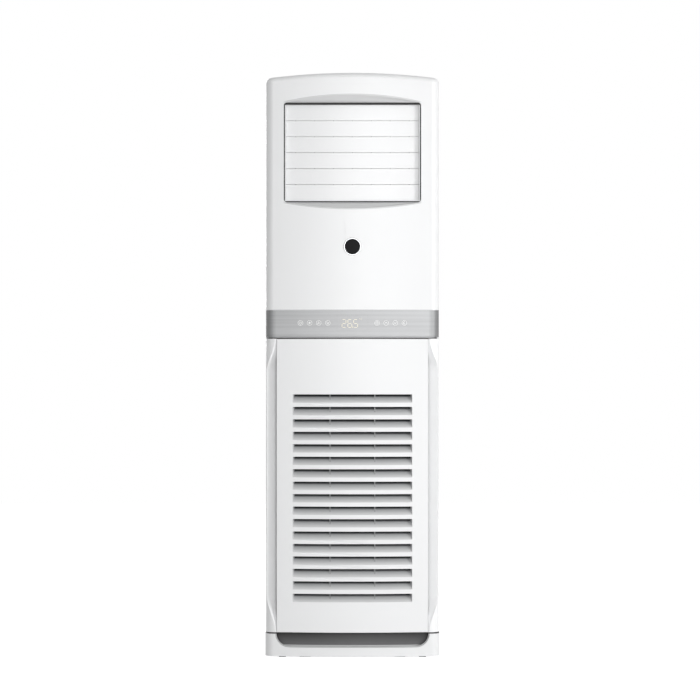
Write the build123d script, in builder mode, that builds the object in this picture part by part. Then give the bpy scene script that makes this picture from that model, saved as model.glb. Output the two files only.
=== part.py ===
from build123d import *
import math
import os

os.makedirs("parts", exist_ok=True)

# Floor standing air conditioner, indoor cabinet. Millimetres, +Z up, front faces -Y.
# The origin is under the middle of the cabinet, on the floor.
# "Depth" below is always counted backwards from the crown line of the bowed front.

# ---------------------------------------------------------------- overall sizes
BODY_WIDTH = 520.0
BODY_DEPTH = 326.0
TOTAL_HEIGHT = 1750.0
FRONT_BOW_RADIUS = 1213.0      # front face, seen from above
FRONT_CORNER_RADIUS = 30.0
REAR_CORNER_RADIUS = 20.0
LEAST_CORNER = 1.0             # corners well inside the walls are nearly square
TOP_CROWN_RADIUS = 2450.0      # top face, seen from the front
TOP_EDGE_RADIUS = 16.0
TOP_COVER_HEIGHT = 34.0
SEAM_DEPTH = 63.0              # front mouldings wrap the corners back to this seam
MOULDING = 3.0                 # wall of the plastic mouldings
SHEET = 1.2                    # wall of the painted steel sheets
FIT = 0.3                      # clearance between neighbouring pieces

# ---------------------------------------------------------------- levels
FOOT_PROUD = 3.0               # rubber feet below the plinth
PLINTH_HEIGHT = 69.0
BASE_FLARE = 2.0               # plinth stands proud of the body all round
PANEL_BOTTOM_GAP = 3.0
INTAKE_PANEL_HEIGHT = 879.0
FASCIA_GAP = 6.0
FASCIA_HEIGHT = 81.0
WINDOW_DROP = 54.5             # outlet opening below the top cover
WINDOW_HEIGHT = 298.5
WINDOW_SIDE = 54.5             # outlet opening from the cabinet's sides
WINDOW_CORNER_RADIUS = 9.0
PANEL_SIDE = 33.5              # swinging intake panel from the cabinet's sides
POST_GAP = 0.8                 # between the intake panel and the posts beside it

FRONT_Y = -BODY_DEPTH / 2
REAR_Y = BODY_DEPTH / 2
SEAM_Y = FRONT_Y + SEAM_DEPTH
PLINTH_TOP = FOOT_PROUD + PLINTH_HEIGHT
PANEL_BOTTOM = PLINTH_TOP + PANEL_BOTTOM_GAP
PANEL_TOP = PANEL_BOTTOM + INTAKE_PANEL_HEIGHT
FASCIA_BOTTOM = PANEL_TOP + FASCIA_GAP
FASCIA_TOP = FASCIA_BOTTOM + FASCIA_HEIGHT
COVER_BOTTOM = TOTAL_HEIGHT - TOP_COVER_HEIGHT
WINDOW_TOP = COVER_BOTTOM - WINDOW_DROP
WINDOW_BOTTOM = WINDOW_TOP - WINDOW_HEIGHT
HALF_WIDTH = BODY_WIDTH / 2
WINDOW_WIDTH = BODY_WIDTH - 2 * WINDOW_SIDE
PANEL_HALF_WIDTH = HALF_WIDTH - PANEL_SIDE
SIDES = {"left": -1, "right": 1}
post_inner = PANEL_HALF_WIDTH + POST_GAP


def bow_depth(x, inset=0.0):
    """Depth, at x, of the surface that lies inset behind the bowed front."""
    return FRONT_BOW_RADIUS - math.sqrt((FRONT_BOW_RADIUS - inset) ** 2 - x**2)


def front_plane(depth):
    """Plane facing the front at a depth; its positive side is the room."""
    return Plane.XZ.offset(-(FRONT_Y + depth))


def rear_plane(inset=0.0):
    """Plane facing backwards, this far inside the rear face."""
    return Plane(origin=(0, REAR_Y - inset, 0), x_dir=(-1, 0, 0), z_dir=(0, 1, 0))


def bow_plane(angle):
    """Upright plane through the bow's axis: x is depth behind the front, y is height."""
    turn = math.radians(angle)
    out = Vector(math.sin(turn), -math.cos(turn), 0)
    foot = Vector(0, FRONT_Y + FRONT_BOW_RADIUS, 0) + out * FRONT_BOW_RADIUS
    return Plane(origin=foot, x_dir=-out, z_dir=(math.cos(turn), math.sin(turn), 0))


BOW_AXIS = Axis((0, FRONT_Y + FRONT_BOW_RADIUS, 0), (0, 0, 1))


def body_outline(inset=0.0):
    """Outline of the cabinet seen from above, drawn in by inset."""
    half = BODY_WIDTH / 2 - inset
    corner_y = FRONT_Y + bow_depth(half, inset)
    rear_y = REAR_Y - inset
    with BuildSketch(mode=Mode.PRIVATE) as outline:
        with BuildLine():
            bow = ThreePointArc((-half, corner_y), (0, FRONT_Y + inset), (half, corner_y))
            Polyline(bow @ 1, (half, rear_y), (-half, rear_y), bow @ 0)
        make_face()
        front_radius = max(FRONT_CORNER_RADIUS - inset, LEAST_CORNER)
        fillet(outline.vertices().sort_by(Axis.Y)[:2], front_radius)
        rear_radius = max(REAR_CORNER_RADIUS - inset, LEAST_CORNER)
        fillet(outline.vertices().sort_by(Axis.Y)[-2:], rear_radius)
    return outline.sketch


def skin(wall):
    """Closed ring of this wall thickness along the cabinet's outline."""
    with BuildSketch(mode=Mode.PRIVATE) as ring:
        add(body_outline())
        add(body_outline(wall), mode=Mode.SUBTRACT)
    return ring.sketch


def front_skin(wall):
    """The part of the skin that lies in front of the side seams."""
    with BuildSketch(mode=Mode.PRIVATE) as front:
        add(skin(wall))
        with Locations((0, SEAM_Y)):
            Rectangle(2 * BODY_WIDTH, 2 * BODY_DEPTH, align=(Align.CENTER, Align.MIN), mode=Mode.SUBTRACT)
    return front.sketch


# ---------------------------------------------------------------- top cover
COVER_CEILING = 4.0            # wall of the cover under its crown
COVER_LIP = 6.0                # spigot that drops inside the side panels
LIP_WALL = 2.0

crown_centre_z = TOTAL_HEIGHT - TOP_CROWN_RADIUS
crown_drop = TOP_CROWN_RADIUS - math.sqrt(TOP_CROWN_RADIUS**2 - (BODY_WIDTH / 2) ** 2)

with BuildPart() as top_cover:
    with BuildSketch(Plane.XY.offset(COVER_BOTTOM)):
        add(body_outline())
    extrude(amount=TOP_COVER_HEIGHT)
    with BuildSketch(Plane.XZ):
        with Locations((0, crown_centre_z)):
            Circle(TOP_CROWN_RADIUS)
    extrude(amount=BODY_DEPTH, both=True, mode=Mode.INTERSECT)
    fillet(top_cover.faces().sort_by(Axis.Z)[-1].edges(), TOP_EDGE_RADIUS)
    with BuildSketch(Plane.XY.offset(COVER_BOTTOM)):
        add(body_outline(TOP_EDGE_RADIUS))
    extrude(amount=TOP_COVER_HEIGHT - crown_drop - COVER_CEILING, mode=Mode.SUBTRACT)
    with BuildSketch(Plane.XY.offset(COVER_BOTTOM - COVER_LIP)):
        add(body_outline(MOULDING + FIT))
        add(body_outline(MOULDING + FIT + LIP_WALL), mode=Mode.SUBTRACT)
    extrude(amount=COVER_LIP)
top_cover.part.label = "top_cover"
export_step(top_cover.part, "parts/top_cover.step")

# ---------------------------------------------------------------- steel cabinet
REAR_PANEL_SIDE = 24.5         # rear panel's edges from the cabinet's sides
SEAM_FLANGE = 12.0             # side panel's inward flange behind the front seam
JOGGLE_WIDTH = 26.0            # strip of the side panel that the rear panel is screwed to
SCREW_INSET = 8.0              # screws from the rear panel's edge
SCREW_ROWS = 5
SCREW_END = 45.0               # first and last screw from the panel's ends
SCREW_HOLE = 3.7
PIPE_HOLE_SIDE = 110.0         # pipe hole from the cabinet's side
PIPE_HOLE_Z = 170.0
PIPE_HOLE_DIAMETER = 74.0
BRACKET_DROP = 130.0           # wall bracket below the cabinet's top
BRACKET_SCREW_PITCH = 120.0
KEYHOLE_PITCH = 80.0
KEYHOLE_SLOT = 5.0
KEYHOLE_HEAD = 10.0
KEYHOLE_RISE = 12.0
KEYHOLE_ROOM = 3.0             # rear panel is open this far round each keyhole

cabinet_height = COVER_BOTTOM - PLINTH_TOP
screw_pitch = (cabinet_height - 2 * SCREW_END) / (SCREW_ROWS - 1)
screw_rows = [PLINTH_TOP + SCREW_END + row * screw_pitch for row in range(SCREW_ROWS)]
REAR_PANEL_HALF = HALF_WIDTH - REAR_PANEL_SIDE
PIPE_HOLE_X = PIPE_HOLE_SIDE - HALF_WIDTH
BRACKET_Z = TOTAL_HEIGHT - BRACKET_DROP
screw_x = REAR_PANEL_HALF - SCREW_INSET
rear_screws = [(side * screw_x, z) for side in (-1, 1) for z in screw_rows]


def make_side_panel(side):
    """Steel side wall with its rear corner, rear joggle and front flange."""
    with BuildPart() as panel:
        with BuildSketch(Plane.XY.offset(PLINTH_TOP)):
            add(skin(SHEET))
            with Locations((0, SEAM_Y)):
                Rectangle(2 * BODY_WIDTH, BODY_DEPTH, align=(Align.CENTER, Align.MAX), mode=Mode.SUBTRACT)
            with Locations((side * (REAR_PANEL_HALF + FIT - BODY_WIDTH), 0)):
                Rectangle(2 * BODY_WIDTH, 2 * BODY_DEPTH, mode=Mode.SUBTRACT)
            with Locations((side * (REAR_PANEL_HALF + FIT + SHEET - JOGGLE_WIDTH / 2), REAR_Y - 1.5 * SHEET)):
                Rectangle(JOGGLE_WIDTH, SHEET)
        extrude(amount=cabinet_height)
        with BuildSketch(Plane.XY.offset(PLINTH_TOP)):
            with Locations((side * (BODY_WIDTH - SHEET - SEAM_FLANGE) / 2, SEAM_Y + SHEET / 2)):
                Rectangle(SEAM_FLANGE + SHEET, SHEET)
        extrude(amount=cabinet_height - COVER_LIP - FIT)
        with BuildSketch(rear_plane()):
            with Locations([(-x, z) for x, z in rear_screws]):
                Circle(SCREW_HOLE / 2)
        extrude(amount=-4 * SHEET, mode=Mode.SUBTRACT)
    return panel


for name, side in SIDES.items():
    side_panel = make_side_panel(side)
    side_panel.part.label = f"{name}_side_panel"
    export_step(side_panel.part, f"parts/{name}_side_panel.step")

with BuildPart() as rear_panel:
    with BuildSketch(rear_plane(SHEET)):
        with Locations((0, (PLINTH_TOP + COVER_BOTTOM) / 2)):
            Rectangle(2 * REAR_PANEL_HALF, cabinet_height)
        with Locations([(-x, z) for x, z in rear_screws]):
            Circle(SCREW_HOLE / 2, mode=Mode.SUBTRACT)
        with Locations([(x * BRACKET_SCREW_PITCH / 2, BRACKET_Z) for x in (-1, 1)]):
            Circle(SCREW_HOLE / 2, mode=Mode.SUBTRACT)
        with Locations([(x * KEYHOLE_PITCH / 2, BRACKET_Z - KEYHOLE_RISE / 2) for x in (-1, 1)]):
            room_width = KEYHOLE_HEAD + 2 * KEYHOLE_ROOM
            Rectangle(room_width, room_width + KEYHOLE_RISE - KEYHOLE_ROOM, mode=Mode.SUBTRACT)
        with Locations((-PIPE_HOLE_X, PIPE_HOLE_Z)):
            Circle(PIPE_HOLE_DIAMETER / 2, mode=Mode.SUBTRACT)
    extrude(amount=SHEET)
rear_panel.part.label = "rear_panel"
export_step(rear_panel.part, "parts/rear_panel.step")

# ---------------------------------------------------------------- plinth, pan and feet
TOE_CLEARANCE = 1.5            # toe recess beyond the intake panel that swings down into it
TOE_DEPTH = 18.0
TOE_BOTTOM = 33.0
TOE_CORNER_RADIUS = 38.0
TOE_RIM = 3.5                  # width and depth of the step round the recess
TOE_RIM_DEPTH = 2.5
PLINTH_WALL = 4.0
ANCHOR_SIDE = 70.0             # floor anchor holes from the cabinet's sides
ANCHOR_Y = 95.0
ANCHOR_HOLE = 10.0
HINGE_DEPTH = 30.0             # intake panel's hinge, just above the plinth
HINGE_HEIGHT = 9.0
HINGE_X = 95.0
HINGE_PIN = 6.0
HINGE_CLEARANCE = 0.1          # all round a hinge pin
HINGE_EAR = 6.0                # thickness of an ear
HINGE_EAR_WIDTH = 12.0
OUTER_FOOT_SIDE = 50.0         # middle of the outer feet from the cabinet's sides
OUTER_FOOT_WIDTH = 22.0
INNER_FOOT_SIDE = 118.5
INNER_FOOT_WIDTH = 36.0
FOOT_LENGTH = 40.0
FOOT_EDGE = 8.0                # feet stand this far inside the plinth's front and back
FOOT_SEAT = 5.0                # depth of a foot's pocket in the plinth

hinge_z = PLINTH_TOP + HINGE_HEIGHT
TOE_HALF_WIDTH = PANEL_HALF_WIDTH + TOE_CLEARANCE
ANCHOR_X = HALF_WIDTH - ANCHOR_SIDE
OUTER_FOOT_X = HALF_WIDTH - OUTER_FOOT_SIDE
INNER_FOOT_X = HALF_WIDTH - INNER_FOOT_SIDE
hollow_front = TOE_DEPTH + bow_depth(TOE_HALF_WIDTH) + PLINTH_WALL
foot_columns = [(s * OUTER_FOOT_X, OUTER_FOOT_WIDTH) for s in (-1, 1)]
foot_columns += [(s * INNER_FOOT_X, INNER_FOOT_WIDTH) for s in (-1, 1)]
foot_front = FRONT_Y + bow_depth(OUTER_FOOT_X) + FOOT_EDGE + FOOT_LENGTH / 2
foot_rear = REAR_Y - FOOT_EDGE - FOOT_LENGTH / 2
foot_places = [(x, y, width) for x, width in foot_columns for y in (foot_front, foot_rear)]

with BuildPart() as base_plinth:
    with BuildSketch(Plane.XY.offset(FOOT_PROUD)):
        add(body_outline(-BASE_FLARE))
    extrude(amount=PLINTH_HEIGHT)
    plinth_faces = base_plinth.faces().filter_by(Axis.Z)
    chamfer(plinth_faces.sort_by(Axis.Z)[-1].edges(), BASE_FLARE / 2)
    # toe recess: a rounded notch as deep as the bowed front asks, and a shallow step round it
    for rim, depth in ((0, TOE_DEPTH), (TOE_RIM, TOE_RIM_DEPTH)):
        with BuildSketch(front_plane(TOE_DEPTH + bow_depth(TOE_HALF_WIDTH + TOE_RIM))) as toe_front:
            with Locations((0, TOE_BOTTOM - rim)):
                Rectangle(2 * (TOE_HALF_WIDTH + rim), PLINTH_HEIGHT, align=(Align.CENTER, Align.MIN))
            fillet(toe_front.vertices().group_by(Axis.Y)[0], TOE_CORNER_RADIUS + rim)
        toe_notch = extrude(amount=3 * TOE_DEPTH, mode=Mode.PRIVATE)
        with BuildSketch(Plane.XY) as toe_plan:
            add(body_outline(-2 * BASE_FLARE))
            add(body_outline(depth), mode=Mode.SUBTRACT)
        toe_ring = extrude(amount=2 * PLINTH_HEIGHT, mode=Mode.PRIVATE)
        add(toe_notch & toe_ring, mode=Mode.SUBTRACT)
    # hollow from below: a deep pocket behind the recess and a low one under its lip
    with BuildSketch(Plane.XY.offset(FOOT_PROUD)) as hollow_plan:
        add(body_outline(PLINTH_WALL))
        with Locations((0, FRONT_Y)):
            Rectangle(2 * BODY_WIDTH, hollow_front, align=(Align.CENTER, Align.MIN), mode=Mode.SUBTRACT)
    extrude(amount=PLINTH_HEIGHT - PLINTH_WALL, mode=Mode.SUBTRACT)
    # blocks that hold the feet
    with BuildSketch(Plane.XY.offset(FOOT_PROUD)):
        for x, y, width in foot_places:
            with Locations((x, y)):
                Rectangle(width + 2 * PLINTH_WALL, FOOT_LENGTH + 2 * PLINTH_WALL)
    extrude(amount=FOOT_SEAT + PLINTH_WALL)
    with BuildSketch(Plane.XY.offset(FOOT_PROUD)):
        for x, y, width in foot_places:
            with Locations((x, y)):
                Rectangle(width + 2 * FIT, FOOT_LENGTH + 2 * FIT)
    extrude(amount=FOOT_SEAT, mode=Mode.SUBTRACT)
    # floor anchors
    with BuildSketch(Plane.XY.offset(FOOT_PROUD)):
        with GridLocations(2 * ANCHOR_X, 2 * ANCHOR_Y, 2, 2):
            Circle(ANCHOR_HOLE / 2 + PLINTH_WALL)
    extrude(amount=PLINTH_HEIGHT)
    with BuildSketch(Plane.XY.offset(FOOT_PROUD)):
        with GridLocations(2 * ANCHOR_X, 2 * ANCHOR_Y, 2, 2):
            Circle(ANCHOR_HOLE / 2)
    extrude(amount=PLINTH_HEIGHT, mode=Mode.SUBTRACT)
    # ears that carry the intake panel's hinge pins
    with BuildSketch(Plane.YZ) as ear_side:
        with Locations((FRONT_Y + HINGE_DEPTH, PLINTH_TOP)):
            Rectangle(HINGE_EAR_WIDTH, HINGE_HEIGHT, align=(Align.CENTER, Align.MIN))
        with Locations((FRONT_Y + HINGE_DEPTH, hinge_z)):
            Circle(HINGE_EAR_WIDTH / 2)
            Circle(HINGE_PIN / 2 + HINGE_CLEARANCE, mode=Mode.SUBTRACT)
    for x in (-HINGE_X, HINGE_X):
        extrude(ear_side.sketch.moved(Location((x - HINGE_EAR / 2, 0, 0))), amount=HINGE_EAR, dir=(1, 0, 0))
base_plinth.part.label = "base_plinth"
export_step(base_plinth.part, "parts/base_plinth.step")

with BuildPart() as rubber_feet:
    with BuildSketch(Plane.XY):
        for x, y, width in foot_places:
            with Locations((x, y)):
                RectangleRounded(width, FOOT_LENGTH, FOOT_PROUD)
    extrude(amount=FOOT_PROUD + FOOT_SEAT)
rubber_feet.part.label = "rubber_feet"
export_step(rubber_feet.part, "parts/rubber_feet.step")

PAN_RIM = 14.0
PAN_CLEARANCE = 1.0            # from the side panels
PAN_FRONT_DEPTH = 42.0         # stays behind the swinging intake panel

pan_front = FRONT_Y + PAN_FRONT_DEPTH
pan_inset = SHEET + PAN_CLEARANCE + SHEET

with BuildPart() as base_pan:
    with BuildSketch(Plane.XY.offset(PLINTH_TOP)) as pan_plan:
        add(body_outline(pan_inset))
        with Locations((0, pan_front)):
            Rectangle(2 * BODY_WIDTH, BODY_DEPTH, align=(Align.CENTER, Align.MAX), mode=Mode.SUBTRACT)
        with Locations([(side * BODY_WIDTH / 2, SEAM_Y + 2 * SHEET) for side in (-1, 1)]):
            notch_width = BODY_WIDTH - 2 * post_inner + 2 * PAN_CLEARANCE
            Rectangle(notch_width, BODY_DEPTH, align=(Align.CENTER, Align.MAX), mode=Mode.SUBTRACT)
    extrude(amount=PAN_RIM)
    with BuildSketch(Plane.XY.offset(PLINTH_TOP + SHEET)):
        offset(pan_plan.sketch.moved(Location((0, 0, -PLINTH_TOP))), amount=-SHEET)
    extrude(amount=PAN_RIM, mode=Mode.SUBTRACT)
    with BuildSketch(Plane.XY.offset(PLINTH_TOP)):
        with GridLocations(2 * ANCHOR_X, 2 * ANCHOR_Y, 2, 2):
            Circle(ANCHOR_HOLE / 2)
    extrude(amount=SHEET, mode=Mode.SUBTRACT)
base_pan.part.label = "base_pan"
export_step(base_pan.part, "parts/base_pan.step")

# ---------------------------------------------------------------- intake panel
PANEL_RIM = 12.0               # returned edges, counted from the panel's face
SLOT_COUNT = 17
SLOT_PITCH = 37.3
SLOT_HEIGHT = 25.0
SLOT_SIDE = 47.5               # slots' ends from the panel's sides
SLOT_CORNER_RADIUS = 2.0
SLOT_TOP_MARGIN = 166.7        # from the panel's top to the first slot
LOUVRE_DEPTH = 22.0            # each fixed louvre rises from its slot's lower edge to this depth
LOUVRE_THICKNESS = 2.5
GUSSET_SLOPE = 8.0             # end gussets lean in by this much over the louvre depth
GUSSET_WIDTH = 7.0
STAY_X = 67.0                  # upright ribs behind the louvres
STAY_WIDTH = 3.0
LUG = 5.0                      # hinge lug thickness
FILTER_GAP = 2.3               # air filter behind the louvres' deepest edge
FILTER_THICKNESS = 6.0
FILTER_SIDE = 24.5             # filter from the panel's sides
FILTER_BOTTOM = 145.0
FILTER_HEIGHT = 670.0
RAIL_WALL = 2.5
RAIL_LIP = 5.0
RAIL_TOP_MARGIN = 54.0
RAIL_FOOT = 4.0                # shelf under the filter


def bow_band(half_width, near, far):
    """Plan of the band between two depths behind the bowed front."""
    with BuildSketch(mode=Mode.PRIVATE) as band:
        with BuildLine():
            front = ThreePointArc(
                (-half_width, FRONT_Y + bow_depth(half_width, near)),
                (0, FRONT_Y + near),
                (half_width, FRONT_Y + bow_depth(half_width, near)),
            )
            back = ThreePointArc(
                (half_width, FRONT_Y + bow_depth(half_width, far)),
                (0, FRONT_Y + far),
                (-half_width, FRONT_Y + bow_depth(half_width, far)),
            )
            Line(front @ 1, back @ 0)
            Line(back @ 1, front @ 0)
        make_face()
    return band.sketch


slot_bottoms = [PANEL_TOP - SLOT_TOP_MARGIN - SLOT_HEIGHT - k * SLOT_PITCH for k in range(SLOT_COUNT)]
field_bottom = slot_bottoms[-1] - LOUVRE_THICKNESS
field_height = slot_bottoms[0] + SLOT_HEIGHT + LOUVRE_THICKNESS - field_bottom
SLOT_HALF_LENGTH = PANEL_HALF_WIDTH - SLOT_SIDE
FILTER_HALF_WIDTH = PANEL_HALF_WIDTH - FILTER_SIDE
FILTER_DEPTH = LOUVRE_DEPTH + bow_depth(SLOT_HALF_LENGTH) + FILTER_GAP
slot_angle = math.degrees(math.asin(SLOT_HALF_LENGTH / FRONT_BOW_RADIUS))
filter_front = FRONT_Y + FILTER_DEPTH
rail_back = FILTER_DEPTH + FILTER_THICKNESS + 2 * FIT

with BuildPart() as intake_panel:
    with BuildSketch(Plane.XY.offset(PANEL_BOTTOM)):
        add(bow_band(PANEL_HALF_WIDTH, 0, PANEL_RIM))
    extrude(amount=INTAKE_PANEL_HEIGHT)
    with BuildSketch(Plane.XY.offset(PANEL_BOTTOM + MOULDING)):
        add(bow_band(PANEL_HALF_WIDTH - MOULDING, MOULDING, 2 * PANEL_RIM))
    extrude(amount=INTAKE_PANEL_HEIGHT - 2 * MOULDING, mode=Mode.SUBTRACT)
    with BuildSketch(front_plane(0)):
        for bottom in slot_bottoms:
            with Locations((0, bottom + SLOT_HEIGHT / 2)):
                RectangleRounded(2 * SLOT_HALF_LENGTH, SLOT_HEIGHT, SLOT_CORNER_RADIUS)
    extrude(amount=-2 * LOUVRE_DEPTH, mode=Mode.SUBTRACT)
    # louvres follow the bow
    with BuildSketch(bow_plane(-slot_angle)):
        for bottom in slot_bottoms:
            with BuildLine():
                Polyline(
                    (0, bottom),
                    (LOUVRE_DEPTH, bottom + SLOT_HEIGHT),
                    (LOUVRE_DEPTH, bottom + SLOT_HEIGHT - LOUVRE_THICKNESS),
                    (0, bottom - LOUVRE_THICKNESS),
                    close=True,
                )
            make_face()
    revolve(axis=BOW_AXIS, revolution_arc=2 * slot_angle)
    # end gussets, stays and filter rails, all upright
    with BuildSketch(Plane.XY.offset(field_bottom)):
        for side in (-1, 1):
            face_y = FRONT_Y + bow_depth(SLOT_HALF_LENGTH) + MOULDING / 2
            with BuildLine():
                Polyline(
                    (side * SLOT_HALF_LENGTH, face_y),
                    (side * (SLOT_HALF_LENGTH + GUSSET_WIDTH), face_y),
                    (side * (SLOT_HALF_LENGTH + GUSSET_WIDTH), face_y + LOUVRE_DEPTH),
                    (side * (SLOT_HALF_LENGTH - GUSSET_SLOPE), face_y + LOUVRE_DEPTH),
                    close=True,
                )
            make_face()
            with Locations((side * STAY_X, FRONT_Y + bow_depth(STAY_X) + LOUVRE_DEPTH / 2)):
                Rectangle(STAY_WIDTH, LOUVRE_DEPTH - MOULDING, align=(Align.CENTER, Align.MIN))
    extrude(amount=field_height)
    with BuildSketch(Plane.XY.offset(FILTER_BOTTOM - RAIL_FOOT - FIT)):
        for side in (-1, 1):
            wall_x = side * (FILTER_HALF_WIDTH + FIT + RAIL_WALL / 2)
            wall_front = FRONT_Y + bow_depth(FILTER_HALF_WIDTH) + MOULDING / 2
            with Locations((wall_x, wall_front)):
                rail_depth = FRONT_Y + rail_back + RAIL_WALL - wall_front
                Rectangle(RAIL_WALL, rail_depth, align=(Align.CENTER, Align.MIN))
            with Locations((side * (FILTER_HALF_WIDTH + FIT - RAIL_LIP / 2), 0)):
                with Locations((0, filter_front - FIT - RAIL_WALL / 2), (0, FRONT_Y + rail_back - FIT + RAIL_WALL / 2)):
                    Rectangle(RAIL_LIP, RAIL_WALL)
    extrude(amount=PANEL_TOP - RAIL_TOP_MARGIN - FILTER_BOTTOM + RAIL_FOOT + FIT)
    with BuildSketch(Plane.XY.offset(FILTER_BOTTOM - RAIL_FOOT - FIT)):
        with Locations([(side * (FILTER_HALF_WIDTH - RAIL_LIP), filter_front - FIT - RAIL_WALL) for side in (-1, 1)]):
            Rectangle(3 * RAIL_LIP, FILTER_THICKNESS + 2 * (FIT + RAIL_WALL), align=(Align.CENTER, Align.MIN))
    extrude(amount=RAIL_FOOT)
    # hinge lugs and their pins
    for side in (-1, 1):
        lug_x = side * (HINGE_X + HINGE_EAR / 2 + FIT)
        with BuildSketch(Plane.YZ.offset(lug_x)):
            lug_front = FRONT_Y + bow_depth(HINGE_X) + MOULDING / 2
            with Locations((lug_front, hinge_z)):
                lug_reach = FRONT_Y + HINGE_DEPTH - lug_front
                Rectangle(lug_reach, HINGE_PIN + MOULDING, align=(Align.MIN, Align.CENTER))
            with Locations((FRONT_Y + HINGE_DEPTH, hinge_z)):
                Circle((HINGE_PIN + MOULDING) / 2)
        extrude(amount=side * LUG)
        with BuildSketch(Plane.YZ.offset(lug_x)):
            with Locations((FRONT_Y + HINGE_DEPTH, hinge_z)):
                Circle(HINGE_PIN / 2)
        extrude(amount=-side * (HINGE_EAR + 2 * FIT))
intake_panel.part.label = "intake_panel"
export_step(intake_panel.part, "parts/intake_panel.step")

# ---------------------------------------------------------------- grip posts
SCOOP_OVERRUN = 1.0            # scoop's cut runs on past the post's inner face
SCOOP_EDGE = 3.0               # outer edge of the finger scoop from the cabinet's side
SCOOP_END = 4.5                # where that edge runs out at both ends, from the panel
SCOOP_TOP_SWEEP = 97.0         # height of the S bend at the top
SCOOP_BOTTOM_SWEEP = 109.0
SCOOP_DEPTH = 26.0             # valley beside the panel, behind the front surface
SCOOP_END_DEPTH = 4.0
SCOOP_SECTIONS = 7
POST_WEB = 5.0                 # wall left behind the valley

scoop_top_end = PANEL_TOP - SCOOP_TOP_SWEEP
scoop_bottom_end = PANEL_BOTTOM + SCOOP_BOTTOM_SWEEP


def front_surface_y(x):
    """y of the cabinet's front surface at x, round the corner as well."""
    centre_x = BODY_WIDTH / 2 - FRONT_CORNER_RADIUS
    reach = FRONT_BOW_RADIUS - FRONT_CORNER_RADIUS
    if x <= centre_x * FRONT_BOW_RADIUS / reach:
        return FRONT_Y + bow_depth(x)
    centre_y = FRONT_Y + FRONT_BOW_RADIUS - math.sqrt(reach**2 - centre_x**2)
    return centre_y - math.sqrt(FRONT_CORNER_RADIUS**2 - (x - centre_x) ** 2)


def scoop_section(side, z, opening):
    """Plan of the scoop's cut at height z, for an opening from 0 to 1."""
    swell = opening**2 * (3 - 2 * opening)
    end_x = PANEL_HALF_WIDTH + SCOOP_END
    edge_x = end_x + (HALF_WIDTH - SCOOP_EDGE - end_x) * swell
    depth = SCOOP_END_DEPTH + (SCOOP_DEPTH - SCOOP_END_DEPTH) * swell
    valley_x = post_inner - SCOOP_OVERRUN
    front = FRONT_Y - SEAM_DEPTH
    with BuildSketch(Plane.XY.offset(z), mode=Mode.PRIVATE) as section:
        with BuildLine():
            Polyline(
                (side * edge_x, front_surface_y(edge_x)),
                (side * valley_x, front_surface_y(valley_x) + depth),
                (side * valley_x, front),
                (side * edge_x, front),
                close=True,
            )
        make_face()
    return section.sketch


def make_grip_post(side):
    """Front corner post with the scoop that lets fingers in behind the intake panel."""
    steps = [k / (SCOOP_SECTIONS - 1) for k in range(SCOOP_SECTIONS)]
    top_bend = [scoop_section(side, PANEL_TOP - SCOOP_TOP_SWEEP * t, t) for t in steps]
    low_bend = [scoop_section(side, PANEL_BOTTOM + SCOOP_BOTTOM_SWEEP * t, t) for t in steps]
    with BuildPart() as post:
        with BuildSketch(Plane.XY.offset(PLINTH_TOP)):
            add(body_outline())
            with Locations((0, SEAM_Y)):
                Rectangle(2 * BODY_WIDTH, 2 * BODY_DEPTH, align=(Align.CENTER, Align.MIN), mode=Mode.SUBTRACT)
            with Locations((side * (post_inner - BODY_WIDTH), 0)):
                Rectangle(2 * BODY_WIDTH, 2 * BODY_DEPTH, mode=Mode.SUBTRACT)
        extrude(amount=PANEL_TOP - PLINTH_TOP)
        loft(top_bend, mode=Mode.SUBTRACT)
        loft(low_bend, mode=Mode.SUBTRACT)
        loft([low_bend[-1], top_bend[-1]], mode=Mode.SUBTRACT)
        with BuildSketch(Plane.XY.offset(PANEL_BOTTOM)):
            pocket_y = front_surface_y(post_inner) + SCOOP_DEPTH + POST_WEB
            pocket_width = BODY_WIDTH / 2 - post_inner - 2 * MOULDING
            with Locations((side * (post_inner + BODY_WIDTH / 2) / 2, pocket_y)):
                Rectangle(pocket_width, SEAM_DEPTH, align=(Align.CENTER, Align.MIN))
        extrude(amount=INTAKE_PANEL_HEIGHT - MOULDING, mode=Mode.SUBTRACT)
    return post


for name, side in SIDES.items():
    grip_post = make_grip_post(side)
    grip_post.part.label = f"{name}_grip_post"
    export_step(grip_post.part, f"parts/{name}_grip_post.step")

# ---------------------------------------------------------------- control fascia
NECK_INSET = 6.0               # dark neck below the fascia
FLANGE_DEPTH = 15.0
KEY_DIAMETER = 17.0
KEY_X = 73.5                   # first touch key from the middle
KEY_PITCH = 27.3
KEYS_EACH_SIDE = 4
KEY_ROW = 41.0                 # keys and digits above the fascia's lower edge
DISPLAY_WIDTH = 92.0
DISPLAY_HEIGHT = 46.0
INLAY_GAP = 0.1                # round flush inlays
BOARD_WIDTH = 340.0
BOARD_HEIGHT = 56.0
BOARD_THICKNESS = 1.6
BOARD_STAND_OFF = 4.0          # behind the fascia's inner face at the board's ends

row_z = FASCIA_BOTTOM + KEY_ROW
key_xs = [side * (KEY_X + k * KEY_PITCH) for side in (-1, 1) for k in range(KEYS_EACH_SIDE)]
board_depth = MOULDING + bow_depth(BOARD_WIDTH / 2) + BOARD_STAND_OFF

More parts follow.
